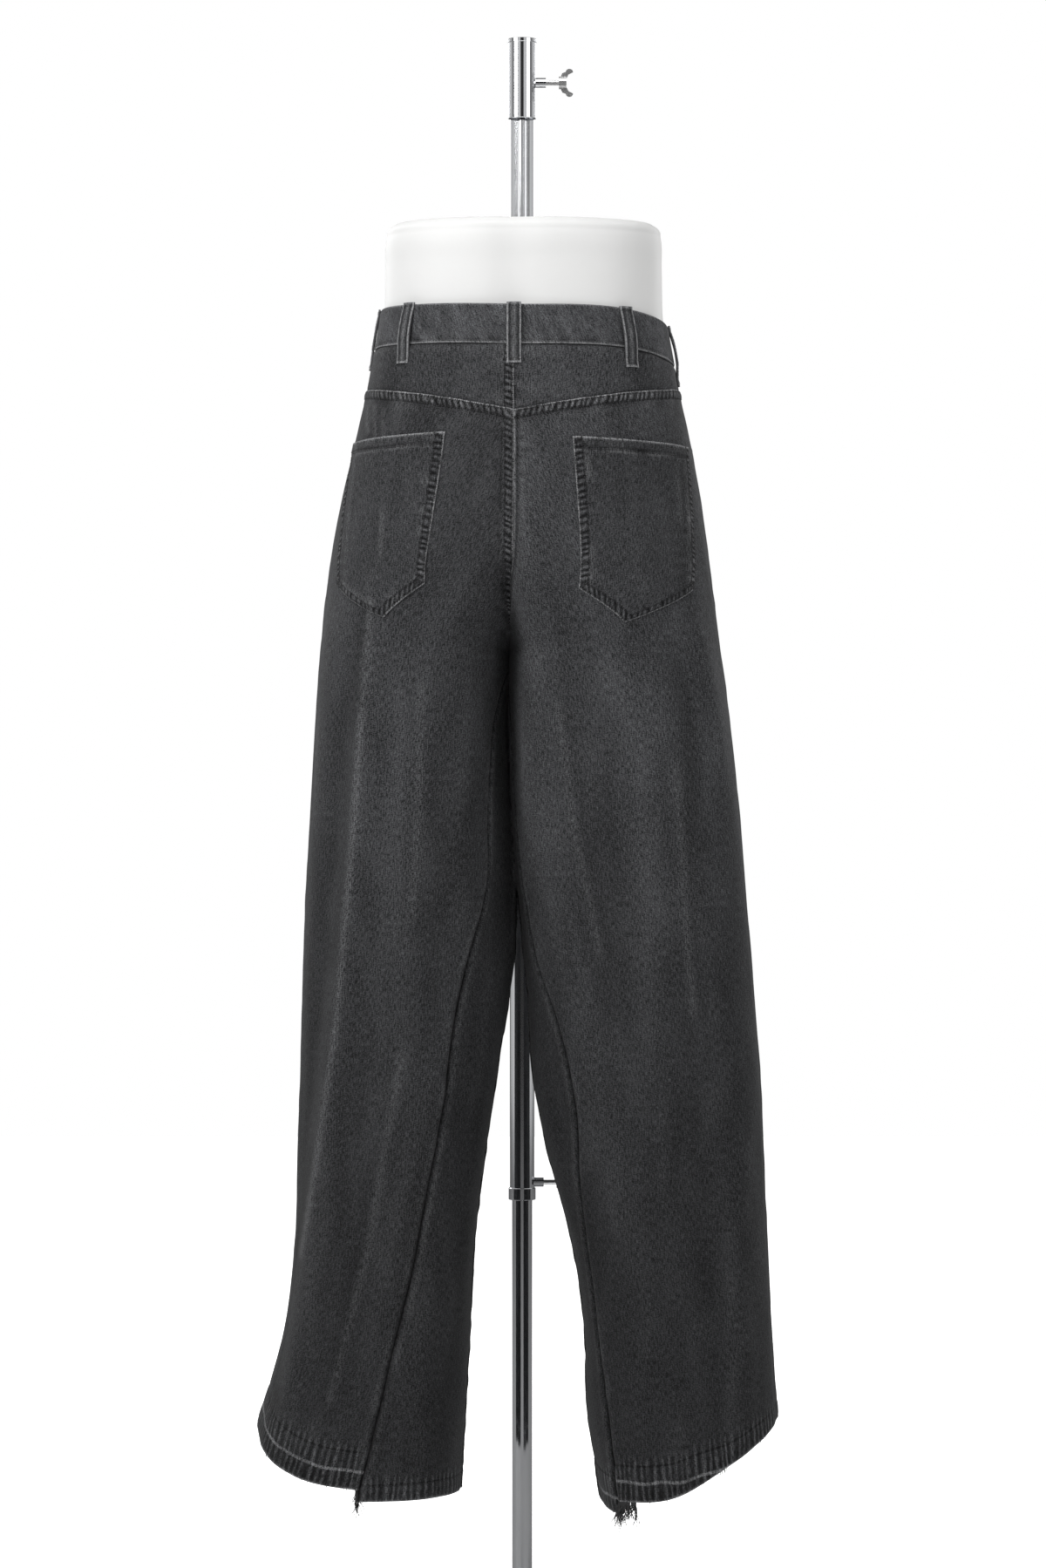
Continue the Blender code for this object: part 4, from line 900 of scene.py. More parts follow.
        # the "fade" attribute: the fade by height times the shade factor, which is mostly painted shade
        # and light
        fade = tone * through(FADE, FADE_COLUMNS, "tone", outer[:, 2]) * self.shade.ravel()
        shown = {"fade": fade, "wear": self.wear.ravel(), "seam": self.seam.reshape(-1, 3)}
        shown["hem"] = self.turned.reshape(-1, 3)
        for key, values in shown.items():
            give(obj.data, key, np.concatenate([values, values * INSIDE[key]]))
        from_edge = self.edge(self.straight)[0].ravel() + self.map_start
        flat_place = np.stack([from_edge, outer[:, 2]], axis=-1)
        give_uv(obj.data, np.concatenate([flat_place, flat_place + INSIDE_MAP]))
        return obj

    def area(self):
        """Area of the sheet, from the two diagonals of each quad."""
        p = self.points
        crossed = np.cross(p[1:, 1:] - p[:-1, :-1], p[1:, :-1] - p[:-1, 1:])
        return float(np.linalg.norm(crossed, axis=-1).sum() / 2)


def pushed(points, normal, out):
    """Points moved out along their normals."""
    return points + normal * np.broadcast_to(out, normal.shape[:2])[..., None]


def on_leg(leg, height, share, out=0.0):
    """A sheet on one leg's side of the garment, moved out of its surface. The dye has worn off the
    crests of the folds and of the small creases. The fold valleys get painted shade and the fold
    crests a little painted light; each crease gets a painted shadow on its outer side."""
    points, normal = cloth(leg, height, share)
    sheet = Sheet(pushed(points, normal, out), normal, LEG_SIDE[leg])
    places = np.broadcast_arrays(height, np.asarray(share, float))
    high = read_table(relief[leg][..., None], *places)[..., 0]
    sheet.wear += CREST_WEAR * np.clip(high, 0, 1)
    # painted shade in the fold valleys, and a little painted light on their crests
    sheet.shade *= 1 + VALLEY_SHADE * np.clip(high, -1, 0.6)
    across, tall = sheet.points[..., 0], sheet.points[..., 2]
    on_back = sheet.points[..., 1] > FORM_AXIS_Y
    for strength, width, path in CREASES:
        path = np.array(sorted(path))
        middle = np.interp(tall, path[:, 0], path[:, 1])
        ends = ease((tall - path[0, 0]) / 0.012) * ease((path[-1, 0] - tall) / 0.012) * on_back
        beside = across - middle - 2.2 * width * np.sign(middle)  # the shadow, on the outer side
        sheet.lift += 0.0012 * strength * ends * bell(across - middle, 1.5 * width)
        sheet.wear += 0.16 * strength * ends * bell(across - middle, width)
        sheet.shade *= 1 - 0.30 * strength * ends * bell(beside, 1.5 * width)
    return sheet


def across_body(parts, out=0.0):
    """A sheet over the body's middle, from grids on the right leg's side and the left's."""
    both = [cloth(*part) for part in parts]
    points, normal = (np.hstack([pair[n] for pair in both]) for n in (0, 1))
    return Sheet(pushed(points, normal, out), normal, 1)


print("a sheet's grid has steps of", EDGE_STEPS[1] * 1000, "mm and more from its edges")

# %% [markdown]
# ## Stitches
#
# Thread lies in a row of short spindles, each a little sunk into the cloth. The rows of one sheet
# are joined into one piece. Thread is charcoal, close to the cloth.

# %% Stitches
STITCH_PITCH, STITCH_LENGTH, STITCH_RADIUS = 0.0032, 0.0024, 0.00036
SPINDLE = ((-0.5, 0.15), (-0.22, 1.0), (0.22, 1.0), (0.5, 0.15))  # along its length, radius
SPINDLE_SIDES, SPINDLE_RISE = 4, 0.5  # how far a stitch lies above the cloth, in its radius


def spindles(rows):
    """Points and faces of the stitches along some lines of points and normals."""
    places, faces = [], []
    count = 0
    angles = 2 * math.pi * (np.arange(SPINDLE_SIDES) + 0.5) / SPINDLE_SIDES
    for points, normal in rows:
        if len(points) < 3:
            continue
        length = np.concatenate([[0], np.cumsum(np.linalg.norm(np.diff(points, axis=0), axis=1))])
        centre = np.arange(0.6 * STITCH_PITCH, length[-1] - 0.5 * STITCH_PITCH, STITCH_PITCH)

        def at(where, values):
            return np.stack([np.interp(where, length, values[:, k]) for k in range(3)], axis=-1)

        tip, tail = at(centre + STITCH_LENGTH / 2, points), at(centre - STITCH_LENGTH / 2, points)
        middle, up = (tip + tail) / 2, at(centre, normal)
        run = tip - tail
        over = np.cross(run / np.linalg.norm(run, axis=1, keepdims=True), up)
        for share, radius in SPINDLE:
            for angle in angles:
                aside = over * math.cos(angle) + up * (math.sin(angle) + SPINDLE_RISE)
                places.append(middle + run * share + aside * STITCH_RADIUS * radius)
        stitches = len(centre)
        numbers = np.arange(len(SPINDLE) * SPINDLE_SIDES).reshape(len(SPINDLE), SPINDLE_SIDES)
        rings = count + numbers * stitches
        order = np.arange(stitches)[:, None]
        for ring in range(len(SPINDLE) - 1):
            for k in range(SPINDLE_SIDES):
                after = (k + 1) % SPINDLE_SIDES
                lower, upper = rings[ring], rings[ring + 1]
                corners = np.array([lower[k], lower[after], upper[after], upper[k]])
                faces.append(corners[None, :] + order)
        for ring, turned in ((0, True), (len(SPINDLE) - 1, False)):
            corners = rings[ring][::-1] if turned else rings[ring]
            faces.append(corners[None, :] + order)
        count += len(SPINDLE) * SPINDLE_SIDES * stitches
    return np.concatenate(places), np.concatenate(faces)


print("stitches to the metre:", round(1 / STITCH_PITCH))

# %% Loose threads
FRAY_POINTS, FRAY_RADIUS = 8, 0.00062
FRAY_SIDES = 3


def loose_threads(frays):
    """Points and faces of three-sided threads that hang from their starts and curl."""
    places, faces, count = [], [], 0
    t = np.linspace(0, 1, FRAY_POINTS)[None, :, None]
    for start, normal, length, seed in frays:
        chance = np.random.default_rng(seed + 500)
        threads = len(start)
        curl, lean = chance.uniform(-1, 1, (2, threads, 1, 3))
        path = start[:, None] - normal[:, None] * 0.0006 + np.array([0, 0, 0.001])
        path = path - np.array([0, 0, 1]) * length[:, None, None] * t
        path = path + length[:, None, None] * (0.30 * lean * t**2 + 0.12 * np.sin(5 * t + 6 * curl) * t)
        radius = FRAY_RADIUS * (1 - 0.5 * t)
        for turn in range(FRAY_SIDES):
            angle = 2 * math.pi * turn / FRAY_SIDES
            aside = radius * np.array([math.cos(angle), math.sin(angle), 0])
            places.append((path + aside).reshape(-1, 3))
        size = threads * FRAY_POINTS
        starts = count + np.arange(threads) * FRAY_POINTS
        first = (starts[:, None] + np.arange(FRAY_POINTS - 1)).ravel()
        for turn in range(FRAY_SIDES):
            a, b = first + turn * size, first + (turn + 1) % FRAY_SIDES * size
            faces += np.stack([a + 1, b + 1, b, a], axis=-1).tolist()
        for end, order in ((0, (0, 1, 2)), (FRAY_POINTS - 1, (2, 1, 0))):
            faces += np.stack([starts + end + turn * size for turn in order], axis=-1).tolist()
        count += FRAY_SIDES * size
    return np.concatenate(places), faces


print("a loose thread has", FRAY_POINTS * FRAY_SIDES, "points")


# %% [markdown]
# ## Denim
#
# Faded black denim is a charcoal twill: fine diagonal grain, with slubs along the warp. Its dye
# wears off on ridges, so the sheets' "wear" lightens it, and their "fade" carries the slow change
# from a paler top to darker hems together with the sheets' painted shade and light. Near a seam the
# twill puckers into short diagonal ridges.

# %% Twill
STREAKS = {  # to the metre one way and the other, detail, how much they tell
    "grain": (1400.0, 520.0, 1.0, 3.8), "slubs": (900.0, 170.0, 1.0, 2.8),
    "threads": (350.0, 1200.0, 1.0, 2.0), "clouds": (28.0, 9.0, 3.0, 1.15),
}
SLUB_HEIGHT = 0.6  # against the grain's


def streaks(u, u_scale, v, v_scale, detail):
    """Noise that is drawn out: so many to the metre along u and along v."""
    return noise(tree, joined(tree, times(tree, u, u_scale), times(tree, v, v_scale)), 1.0, detail, 0.6)


tree, given, result = group("twill", {"Place": "Vector"}, {"Tone": "Float", "Height": "Float"})
parts = split(tree, given["Place"])
ways = {"grain": (plus(tree, parts[0], parts[1]), less(tree, parts[0], parts[1]))}
tone, drawn = 1.0, {}
for name, (u_scale, v_scale, detail, tells) in STREAKS.items():
    u, v = ways.get(name, (parts[0], parts[1]))
    drawn[name] = streaks(u, u_scale, v, v_scale, detail)
    tone = plus(tree, tone, times(tree, less(tree, drawn[name], 0.5), tells))
feed(tree, result["Tone"], tone)
feed(tree, result["Height"], plus(tree, drawn["grain"], times(tree, drawn["slubs"], SLUB_HEIGHT)))
twill = tree
print("twill:", ", ".join(STREAKS))

# %% Puckers beside a seam
BAR_PITCH, BAR_LEAN, BAR_DRIFT = 0.0064, 0.30, 12.0  # between two light bars of a felled seam
BAR_LENGTH, BAR_END = 0.0108, 0.0125  # the bars are strongest half way along, and end there
BAR_FADE = 0.0082  # from this far away they die down
BAR_LIGHT, DARKEST = 1.7, -0.8
ROW_PLACES, ROW_HALF_WIDTH, ROW_EDGE = (0.0019, 0.0088), 0.0016, 1.7
ROW_DARK, ROW_SWING, STITCH_BEAT = 0.78, 0.3, 0.0032


def line_mask(distance, half_width, edge):
    """1 on a line, falling to 0 at its half width, the faster the harder its edge."""
    off = calc(tree, "DIVIDE", calc(tree, "ABSOLUTE", distance), half_width)
    return calc(tree, "MULTIPLY", less(tree, 1.0, off), edge, clamp=True)


def ramp_down(value, start, end, high=1.0):
    """From high at the start to 0 at the end."""
    inputs = {0: value, 1: start, 2: end, 3: high, 4: 0.0}
    return add(tree, "ShaderNodeMapRange", inputs).outputs[0]


def cycle(along, pitch, drift=None):
    """A sine along a seam, one turn to each pitch."""
    turns = times(tree, along, 2 * math.pi / pitch)
    return calc(tree, "SINE", turns if drift is None else plus(tree, turns, drift))


tree, given, result = group("puckers", {"Seam": "Vector"}, {"Height": "Float", "Light": "Float"})
away, along, strength = split(tree, given["Seam"])
leaning = plus(tree, along, times(tree, away, BAR_LEAN))
drift = times(tree, streaks(along, 45.0, away, 4.0, 1.0), BAR_DRIFT)
uneven = streaks(along, 130.0, away, 60.0, 1.0)
reach = times(tree, calc(tree, "MINIMUM", away, BAR_END), math.pi / BAR_LENGTH)
bars = times(tree, cycle(leaning, BAR_PITCH, drift), uneven, calc(tree, "SINE", reach))
ridge = times(tree, bars, ramp_down(away, BAR_FADE, BAR_END), strength)
beat = plus(tree, times(tree, cycle(along, STITCH_BEAT), ROW_SWING), 1 - ROW_SWING)
light = times(tree, ridge, BAR_LIGHT)
for row in ROW_PLACES:  # the rows of thread lie in dark grooves
    groove = line_mask(less(tree, away, row), ROW_HALF_WIDTH, ROW_EDGE)
    light = less(tree, light, times(tree, groove, beat, strength, ROW_DARK))
feed(tree, result["Height"], ridge)
feed(tree, result["Light"], calc(tree, "MAXIMUM", light, DARKEST))
puckers = tree
print("puckers: a bar each", BAR_PITCH * 1000, "mm")

# %% Roped hems
HEM_BAR, HEM_DRIFT = 0.0072, 13.0  # between two light bars
HEM_ROW, HEM_ROW_DARK = 0.0015, 0.75  # half width of its row of thread, and how dark it is
FOLD_LINE, FOLD_WEAR = 0.0021, 0.42  # half width of the old fold line, and how far it has faded
BELOW_DARK = 0.16  # the cloth under the fold line has kept its dye
HEM_LIGHT, HEM_WEAR = 0.95, 0.13

tree, given, result = group("roped_hem", {"Hem": "Vector"}, {"Light": "Float", "Wear": "Float"})
from_row, from_fold, along = split(tree, given["Hem"])
drift = times(tree, streaks(along, 40.0, from_row, 6.0, 1.0), HEM_DRIFT)
uneven = streaks(along, 110.0, from_row, 35.0, 1.0)
bars = times(tree, cycle(along, HEM_BAR, drift), uneven)
reach = ramp_down(from_row, 0.001, 0.012)
row = line_mask(from_row, HEM_ROW, 1.5)
faded = times(tree, line_mask(from_fold, FOLD_LINE, 1.5), plus(tree, uneven, 0.25))
light = less(tree, times(tree, bars, reach, HEM_LIGHT), times(tree, row, HEM_ROW_DARK))
light = less(tree, light, ramp_down(from_fold, -0.002, 0.0, BELOW_DARK))
feed(tree, result["Light"], calc(tree, "MAXIMUM", light, DARKEST))
crests = times(tree, calc(tree, "MAXIMUM", bars, 0.0), reach, HEM_WEAR)
feed(tree, result["Wear"], plus(tree, crests, times(tree, faded, FOLD_WEAR)))
roped_hem = tree
print("roped hem: a bar each", HEM_BAR * 1000, "mm")


# %% Denim materials
DARKEST_GRAIN = 0.25


def denim(name, colour, worn, contrast=1.0):
    """A denim: its dyed colour, the colour that wear shows, and how strong its grain is."""
    finish, tree, shader = new_material(name)
    weave = use(tree, twill, Place=add(tree, "ShaderNodeUVMap", uv_map="cloth").outputs[0])
    fade, wear, seam, turned = (
        add(tree, "ShaderNodeAttribute", attribute_name=key).outputs[kind]
        for key, kind in (("fade", "Fac"), ("wear", "Fac"), ("seam", "Vector"), ("hem", "Vector"))
    )
    ridges = use(tree, puckers, Seam=seam)
    roping = use(tree, roped_hem, Hem=turned)
    grain = plus(tree, times(tree, less(tree, weave["Tone"], 1.0), contrast), 1.0)
    # "fade" holds the cloth's fade by height and the painted shade and light of its sheet
    tone = times(tree, fade, calc(tree, "MAXIMUM", grain, DARKEST_GRAIN))
    for light in (ridges["Light"], roping["Light"]):
        tone = times(tree, tone, plus(tree, 1.0, light))
    wear = plus(tree, wear, roping["Wear"])
    dyed = vector(tree, "MULTIPLY", colour, joined(tree, tone, tone, tone))
    bare = calc(tree, "MULTIPLY", wear, plus(tree, grain, ridges["Light"]), clamp=True)
    feed(tree, shader.inputs["Base Color"], mix(tree, bare, dyed, worn))
    shader.inputs["Roughness"].default_value = 0.88
    shader.inputs["Specular IOR Level"].default_value = 0.14
    shader.inputs["Sheen Weight"].default_value = 0.03
    shader.inputs["Sheen Roughness"].default_value = 0.5
    height = None
    for rise, strength, deep in ((weave["Height"], 0.16, 0.0003), (ridges["Height"], 0.9, 0.0016)):
        inputs = {"Height": rise, "Strength": strength, "Distance": deep}
        height = add(tree, "ShaderNodeBump", inputs | ({"Normal": height} if height else {})).outputs[0]
    feed(tree, shader.inputs["Normal"], height)
    return finish


DYED = (0.0260, 0.0264, 0.0280)
WORN = (0.235, 0.237, 0.243)
denim_cloth = denim("denim_cloth", DYED, WORN)
band_cloth = denim("band_cloth", DYED, WORN, 0.8)


def yarn(name, dark, light):
    """Yarn whose colour varies between two tones."""
    finish, tree, shader = new_material(name)
    shade = noise(tree, spaces(tree, "Object"), 900.0, 1.0, flat=False)
    feed(tree, shader.inputs["Base Color"], mix(tree, shade, dark, light))
    shader.inputs["Roughness"].default_value = 0.7
    shader.inputs["Specular IOR Level"].default_value = 0.3
    return finish


thread_finish = yarn("thread", (0.008, 0.008, 0.009), (0.026, 0.026, 0.028))
fray_finish = yarn("loose_thread", (0.003, 0.003, 0.003), (0.036, 0.036, 0.037))
print("materials:", denim_cloth.name, band_cloth.name, thread_finish.name, fray_finish.name)

# %% [markdown]
# ## The panels
#
# Each leg has a back, a front and an inner panel let in between them. The seat seam, the yoke
# seams and the inseams are felled, with a raised double row; the let-in panels' back seams are
# plain. All hems but the left inner panel's were let down, which left the old fold line pale
# above the new edge. The corners of the backs' hems have frayed.


# %% Finishing a sheet
LEAST_AREA = 0.31  # of the flat size: a sheet's own area lies between this and the whole


def dress(name, sheet, node, finish=None, thick=WALL, tone=1.0):
    """The sheet becomes a piece that stands for its CAD node, and its stitches go with it."""
    obj = sheet.build(name, finish or denim_cloth, thick, tone)
    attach(obj, "carriage")
    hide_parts(node)
    for made, ending, shape, yarn_finish in (
        (sheet.rows, "_stitches", spindles, thread_finish),
        (sheet.frays, "_fray", loose_threads, fray_finish),
    ):
        if made:
            thread = make_mesh(name + ending, *shape(made), yarn_finish, 80)
            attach(thread, "carriage")
    width, length = float(sheet.first.max()), float(sheet.top.max())
    area = float(np.clip(sheet.area(), LEAST_AREA * width * length, width * length))
    print(f"{name}: {width * 1000:.0f} x {length * 1000:.0f} mm, {len(obj.data.polygons)} faces")
    return obj


# %% Back panels
BACK_WIDTH, LEG_LENGTH, HEM_DEPTH = 0.25, 1.04, 0.037
LET_DOWN = {"left": 0.0185, "right": 0.0195}  # old fold line above the hem's edge
HEM_SHARES = {"left": ((0.0, 1.0), (1.0, 1.0)), "right": (
    (0.0, 0.97), (0.20, 0.95), (0.36, 0.86), (0.50, 0.58), (0.70, 0.45), (1.0, 0.36))}  # of HEM_DEPTH
FOLD_SHARES = {"left": ((0.0, 1.0), (1.0, 1.0)), "right": (
    (0.0, 1.0), (0.22, 0.90), (0.38, 0.45), (0.50, 0.05), (0.60, -0.2), (1.0, -0.2))}  # of LET_DOWN
SEAT_TONE = {"left": -0.10, "right": 0.24}  # the seat faded differently on the two sides
FRAYS = {  # edge, from and to its share, threads, length
    "left": (("bottom", 0.0, 0.050, 60, 0.024), ("bottom", 0.05, 0.6, 9, 0.004)),
    "right": (
        ("bottom", 0.0, 0.15, 150, 0.026), ("bottom", 0.46, 0.50, 6, 0.006),
        ("bottom", 0.96, 1.0, 12, 0.006), ("last", 0.965, 0.975, 8, 0.007),
        ("bottom", 0.2, 0.9, 12, 0.004),
    ),
}
back_across = spaced(BACK_WIDTH, 0.0034)
back_down = spaced(LEG_LENGTH, 0.0030)[:, None]
for leg, seed in (("left", 11), ("right", 41)):
    upper = yoke_line(back_across)
    height = upper + (hem_line(BACK_HEM, leg, back_across) - upper) * back_down
    first = np.where(height > CROTCH, 0, gusset_share(leg, height))
    sheet = on_leg(leg, height, first + (side_share(leg, height) - first) * back_across)
    above = ease((height - CROTCH + 0.005) / 0.03)
    sheet.straight, sheet.map_start = "last", 0.1 * seed
    sheet.shade *= 1 + SEAT_TONE[leg] * ease((height - 1.03) / 0.12)
    sheet.crumple(seed, 0.00035, 0.016, 0.045, 0.2)
    side_waves = wave(sheet.last / 0.017, seed) * bell(sheet.last - 0.03, 0.022)
    sheet.lift += 0.0009 * side_waves * ease((1.20 - height) / 0.2)
    sheet.felled("top", seed + 2, width=0.0105)
    if leg == "left":
        sheet.felled("first", seed + 4, width=0.0115, strength=above, worn=0.9)
        sheet.pressed("first", seed + 5, strength=1 - above)
        sheet.stitch("first", *SEAM_ROWS, low=CROTCH + 0.01)
    else:
        sheet.roll("first", above, 0.0010, 0.0016)
        sheet.wear += 0.50 * above * bell(sheet.first - 0.0004, 0.0009)
        # painted shade in the groove beside the seat seam
        sheet.shade *= 1 - 0.62 * above * bell(sheet.first - 0.0030, 0.0016)
        sheet.wear += 0.05 * above * bell(sheet.first - 0.0085, 0.0026)
        sheet.pressed("first", seed + 5, strength=1 - above)
    sheet.pressed("last", seed + 6)
    inward = sheet.first / (sheet.first + sheet.last)
    depth, fold = (np.interp(inward, *np.transpose(rows[leg])) for rows in (HEM_SHARES, FOLD_SHARES))
    sheet.hem("bottom", seed + 7, HEM_DEPTH * depth, LET_DOWN[leg] * fold)
    sheet.stitch("top", *SEAM_ROWS)
    for name, low, high, count, length in FRAYS[leg]:
        sheet.fray(name, low, high, count, length, seed + count)
    dress(f"back_{leg}_cloth", sheet, "back_" + leg, tone=1.0 if leg == "left" else 1.02)

# %% Inner panels
GUSSET_WIDTH, GUSSET_LENGTH = 0.22, 0.84
GUSSET_HEMS = {"left": (0.0165, None, 0.0160), "right": (HEM_DEPTH, 0.0145, 0.036)}  # depth, fold, row
gusset_across = spaced(GUSSET_WIDTH, 0.0042)
gusset_down = spaced(GUSSET_LENGTH, 0.0030)[:, None]
for leg, seed in (("left", 71), ("right", 91)):
    lower = hem_line(GUSSET_HEM, leg, gusset_across)
    height = CROTCH + (lower - CROTCH) * gusset_down
    sheet = on_leg(leg, height, gusset_share(leg, height) * gusset_across)
    room = ease((sheet.first[:, -1:] - 0.012) / 0.02)
    sheet.crumple(seed, 0.0003, 0.018, 0.05, -0.2)
    sheet.felled("first", seed + 2, strength=room)
    sheet.pressed("last", seed + 3, strength=room)
    depth, fold, row = GUSSET_HEMS[leg]
    sheet.hem("bottom", seed + 4, depth, fold)
    sheet.stitch("first", *SEAM_ROWS, high=CROTCH - 0.05)
    sheet.stitch("bottom", row)
    dress(f"gusset_{leg}_cloth", sheet, "gusset_" + leg)

# %% Fronts
FLY_ROWS = (0.036, 0.0425)  # from the centre front
front_across = np.concatenate([
    SCOOP_WIDTH * np.sin(np.linspace(0, math.pi / 2, 30)),
    SCOOP_WIDTH + (1 - SCOOP_WIDTH) * spaced(0.11, 0.0045)[1:],
])
front_down = spaced(LEG_LENGTH, 0.0042)[:, None]
for leg, seed in (("left", 111), ("right", 131)):
    upper = front_top(leg, front_across)
    height = upper + (hem_line(FRONT_HEM, leg, front_across) - upper) * front_down
    first = side_share(leg, height)
    sheet = on_leg(leg, height, first + (1 - first) * front_across)
    sheet.crumple(seed, 0.00035, 0.016, 0.045, -0.2)
    sheet.felled("top", seed + 2, width=0.0085)
    sheet.pressed("first", seed + 3)
    sheet.pressed("last", seed + 4)
    sheet.hem("bottom", seed + 5, HEM_DEPTH, LET_DOWN[leg])
    sheet.stitch("top", *FRONT_ROWS)
    sheet.stitch("bottom", HEM_DEPTH - 0.0008)
    if leg == "left":
        sheet.stitch("last", *FRONT_ROWS, low=CROTCH - 0.02)
        sheet.stitch("last", *FLY_ROWS, low=1.150)
    dress(f"front_{leg}_cloth", sheet, "front_" + leg)

# %% Yokes
yoke_across = spaced(0.19, 0.0030)
yoke_down = spaced(0.068, 0.0026)[:, None]
for leg, seed in (("left", 151), ("right", 171)):
    upper = band_bottom(leg, yoke_across * waist_side(leg))
    height = upper + (yoke_line(yoke_across) - upper) * yoke_down
    sheet = on_leg(leg, height, side_share(leg, height) * yoke_across)
    sheet.crumple(seed, 0.0006, 0.020, 0.030, 0.5)
    sheet.pressed("top", seed + 1, strength=0.7, swell=0.0008)
    drag = ripple(sheet.first / 0.05, (sheet.top - 0.3 * sheet.first) / 0.0065, seed + 9)
    drag *= np.exp(-sheet.first / 0.022)  # wrinkles that the seat seam drags
    sheet.lift += 0.0011 * drag
    sheet.wear += 0.16 * np.clip(drag, 0, 1)
    # painted shade in the troughs of the wrinkles
    sheet.shade *= 1 - 0.45 * np.clip(-drag, 0, 1)
    sheet.roll("bottom", 1.0, 0.0008)
    # painted shadow under the tucked lower edge
    sheet.shade *= 1 - 0.35 * np.exp(-sheet.bottom / 0.0018)
    if leg == "left":
        sheet.felled("first", seed + 3, width=0.0115)
        sheet.stitch("first", *SEAM_ROWS)
    else:
        sheet.roll("first", 1.0, 0.0016, 0.0022)
        # painted shade in the groove of the seat seam
        sheet.shade *= 1 - 0.50 * np.exp(-sheet.first / 0.0022)
    sheet.pressed("last", seed + 5)
    dress(f"yoke_{leg}_cloth", sheet, "yoke_" + leg, tone=1.0 if leg == "left" else 1.2)

# %% Waistband
BAND_CLOUDS = (  # width, height, how much they tell, seed
    (0.026, 0.03, 0.14, 194), (0.0062, 0.05, 0.22, 195), (0.011, 0.012, 0.16, 196),
)
band_places = spaced(0.46, 0.0026)
parts = []
for leg, first in (("right", 1), ("left", 0)):
    share = band_places[first:]
    share = share[::-1] if leg == "right" else share
    down = spaced(BAND_HEIGHT, 0.0032)[:, None] * BAND_HEIGHT
    parts.append((leg, waist_top(leg, share) - down, share))
sheet = across_body(parts, BAND_RISE)
sheet.lift += 0.0004 * ripple(sheet.first / 0.05, sheet.top / 0.03, 191)
edge_swell = wave(sheet.first / 0.009, 192) * np.exp(-sheet.bottom / 0.005)
sheet.lift += 0.0003 * edge_swell
for name in ("top", "bottom", "first", "last"):
    sheet.roll(name)
    sheet.lift -= 0.0004 * bell(sheet.edge(name)[0] - 0.0020, 0.0010)
sheet.wear += 0.75 * bell(sheet.bottom - 0.0009, 0.0010) * (0.8 + 0.3 * wave(sheet.first / 0.02, 193))
sheet.wear += 0.45 * bell(sheet.top - 0.0006, 0.0012) + 0.22 * np.clip(edge_swell, 0, 1)
# painted shade in the troughs of the edge swell, and a painted shade line in the groove of the lower
# stitches
sheet.shade *= 1 - 0.40 * np.clip(-edge_swell, 0, 1) - 0.30 * bell(sheet.bottom - 0.0032, 0.0012)
puckered = ripple(sheet.first / 0.0078, sheet.bottom / 0.02, 197) * np.exp(-sheet.bottom / 0.011)
sheet.wear += 0.16 * np.clip(puckered, 0, 1)
# painted shade in the pucker troughs
sheet.shade *= 1 - 0.60 * np.clip(-puckered, 0, 1)
for wide, tall, amount, seed in BAND_CLOUDS:
    sheet.shade *= 1 + amount * ripple(sheet.first / wide, sheet.top / tall, seed)
for name in ("top", "bottom"):
    sheet.stitch(name, 0.0020)
dress("waistband_cloth", sheet, "waistband", band_cloth, BAND_THICK, 1.52)

# %% [markdown]
# ## Pockets, loops and fly
#
# The patch pockets keep their own flat shape: a mouth with a deep hem, straight sides and a low
# point. Their edges have worn pale, and the cloth has shrunk up inside the double rows.

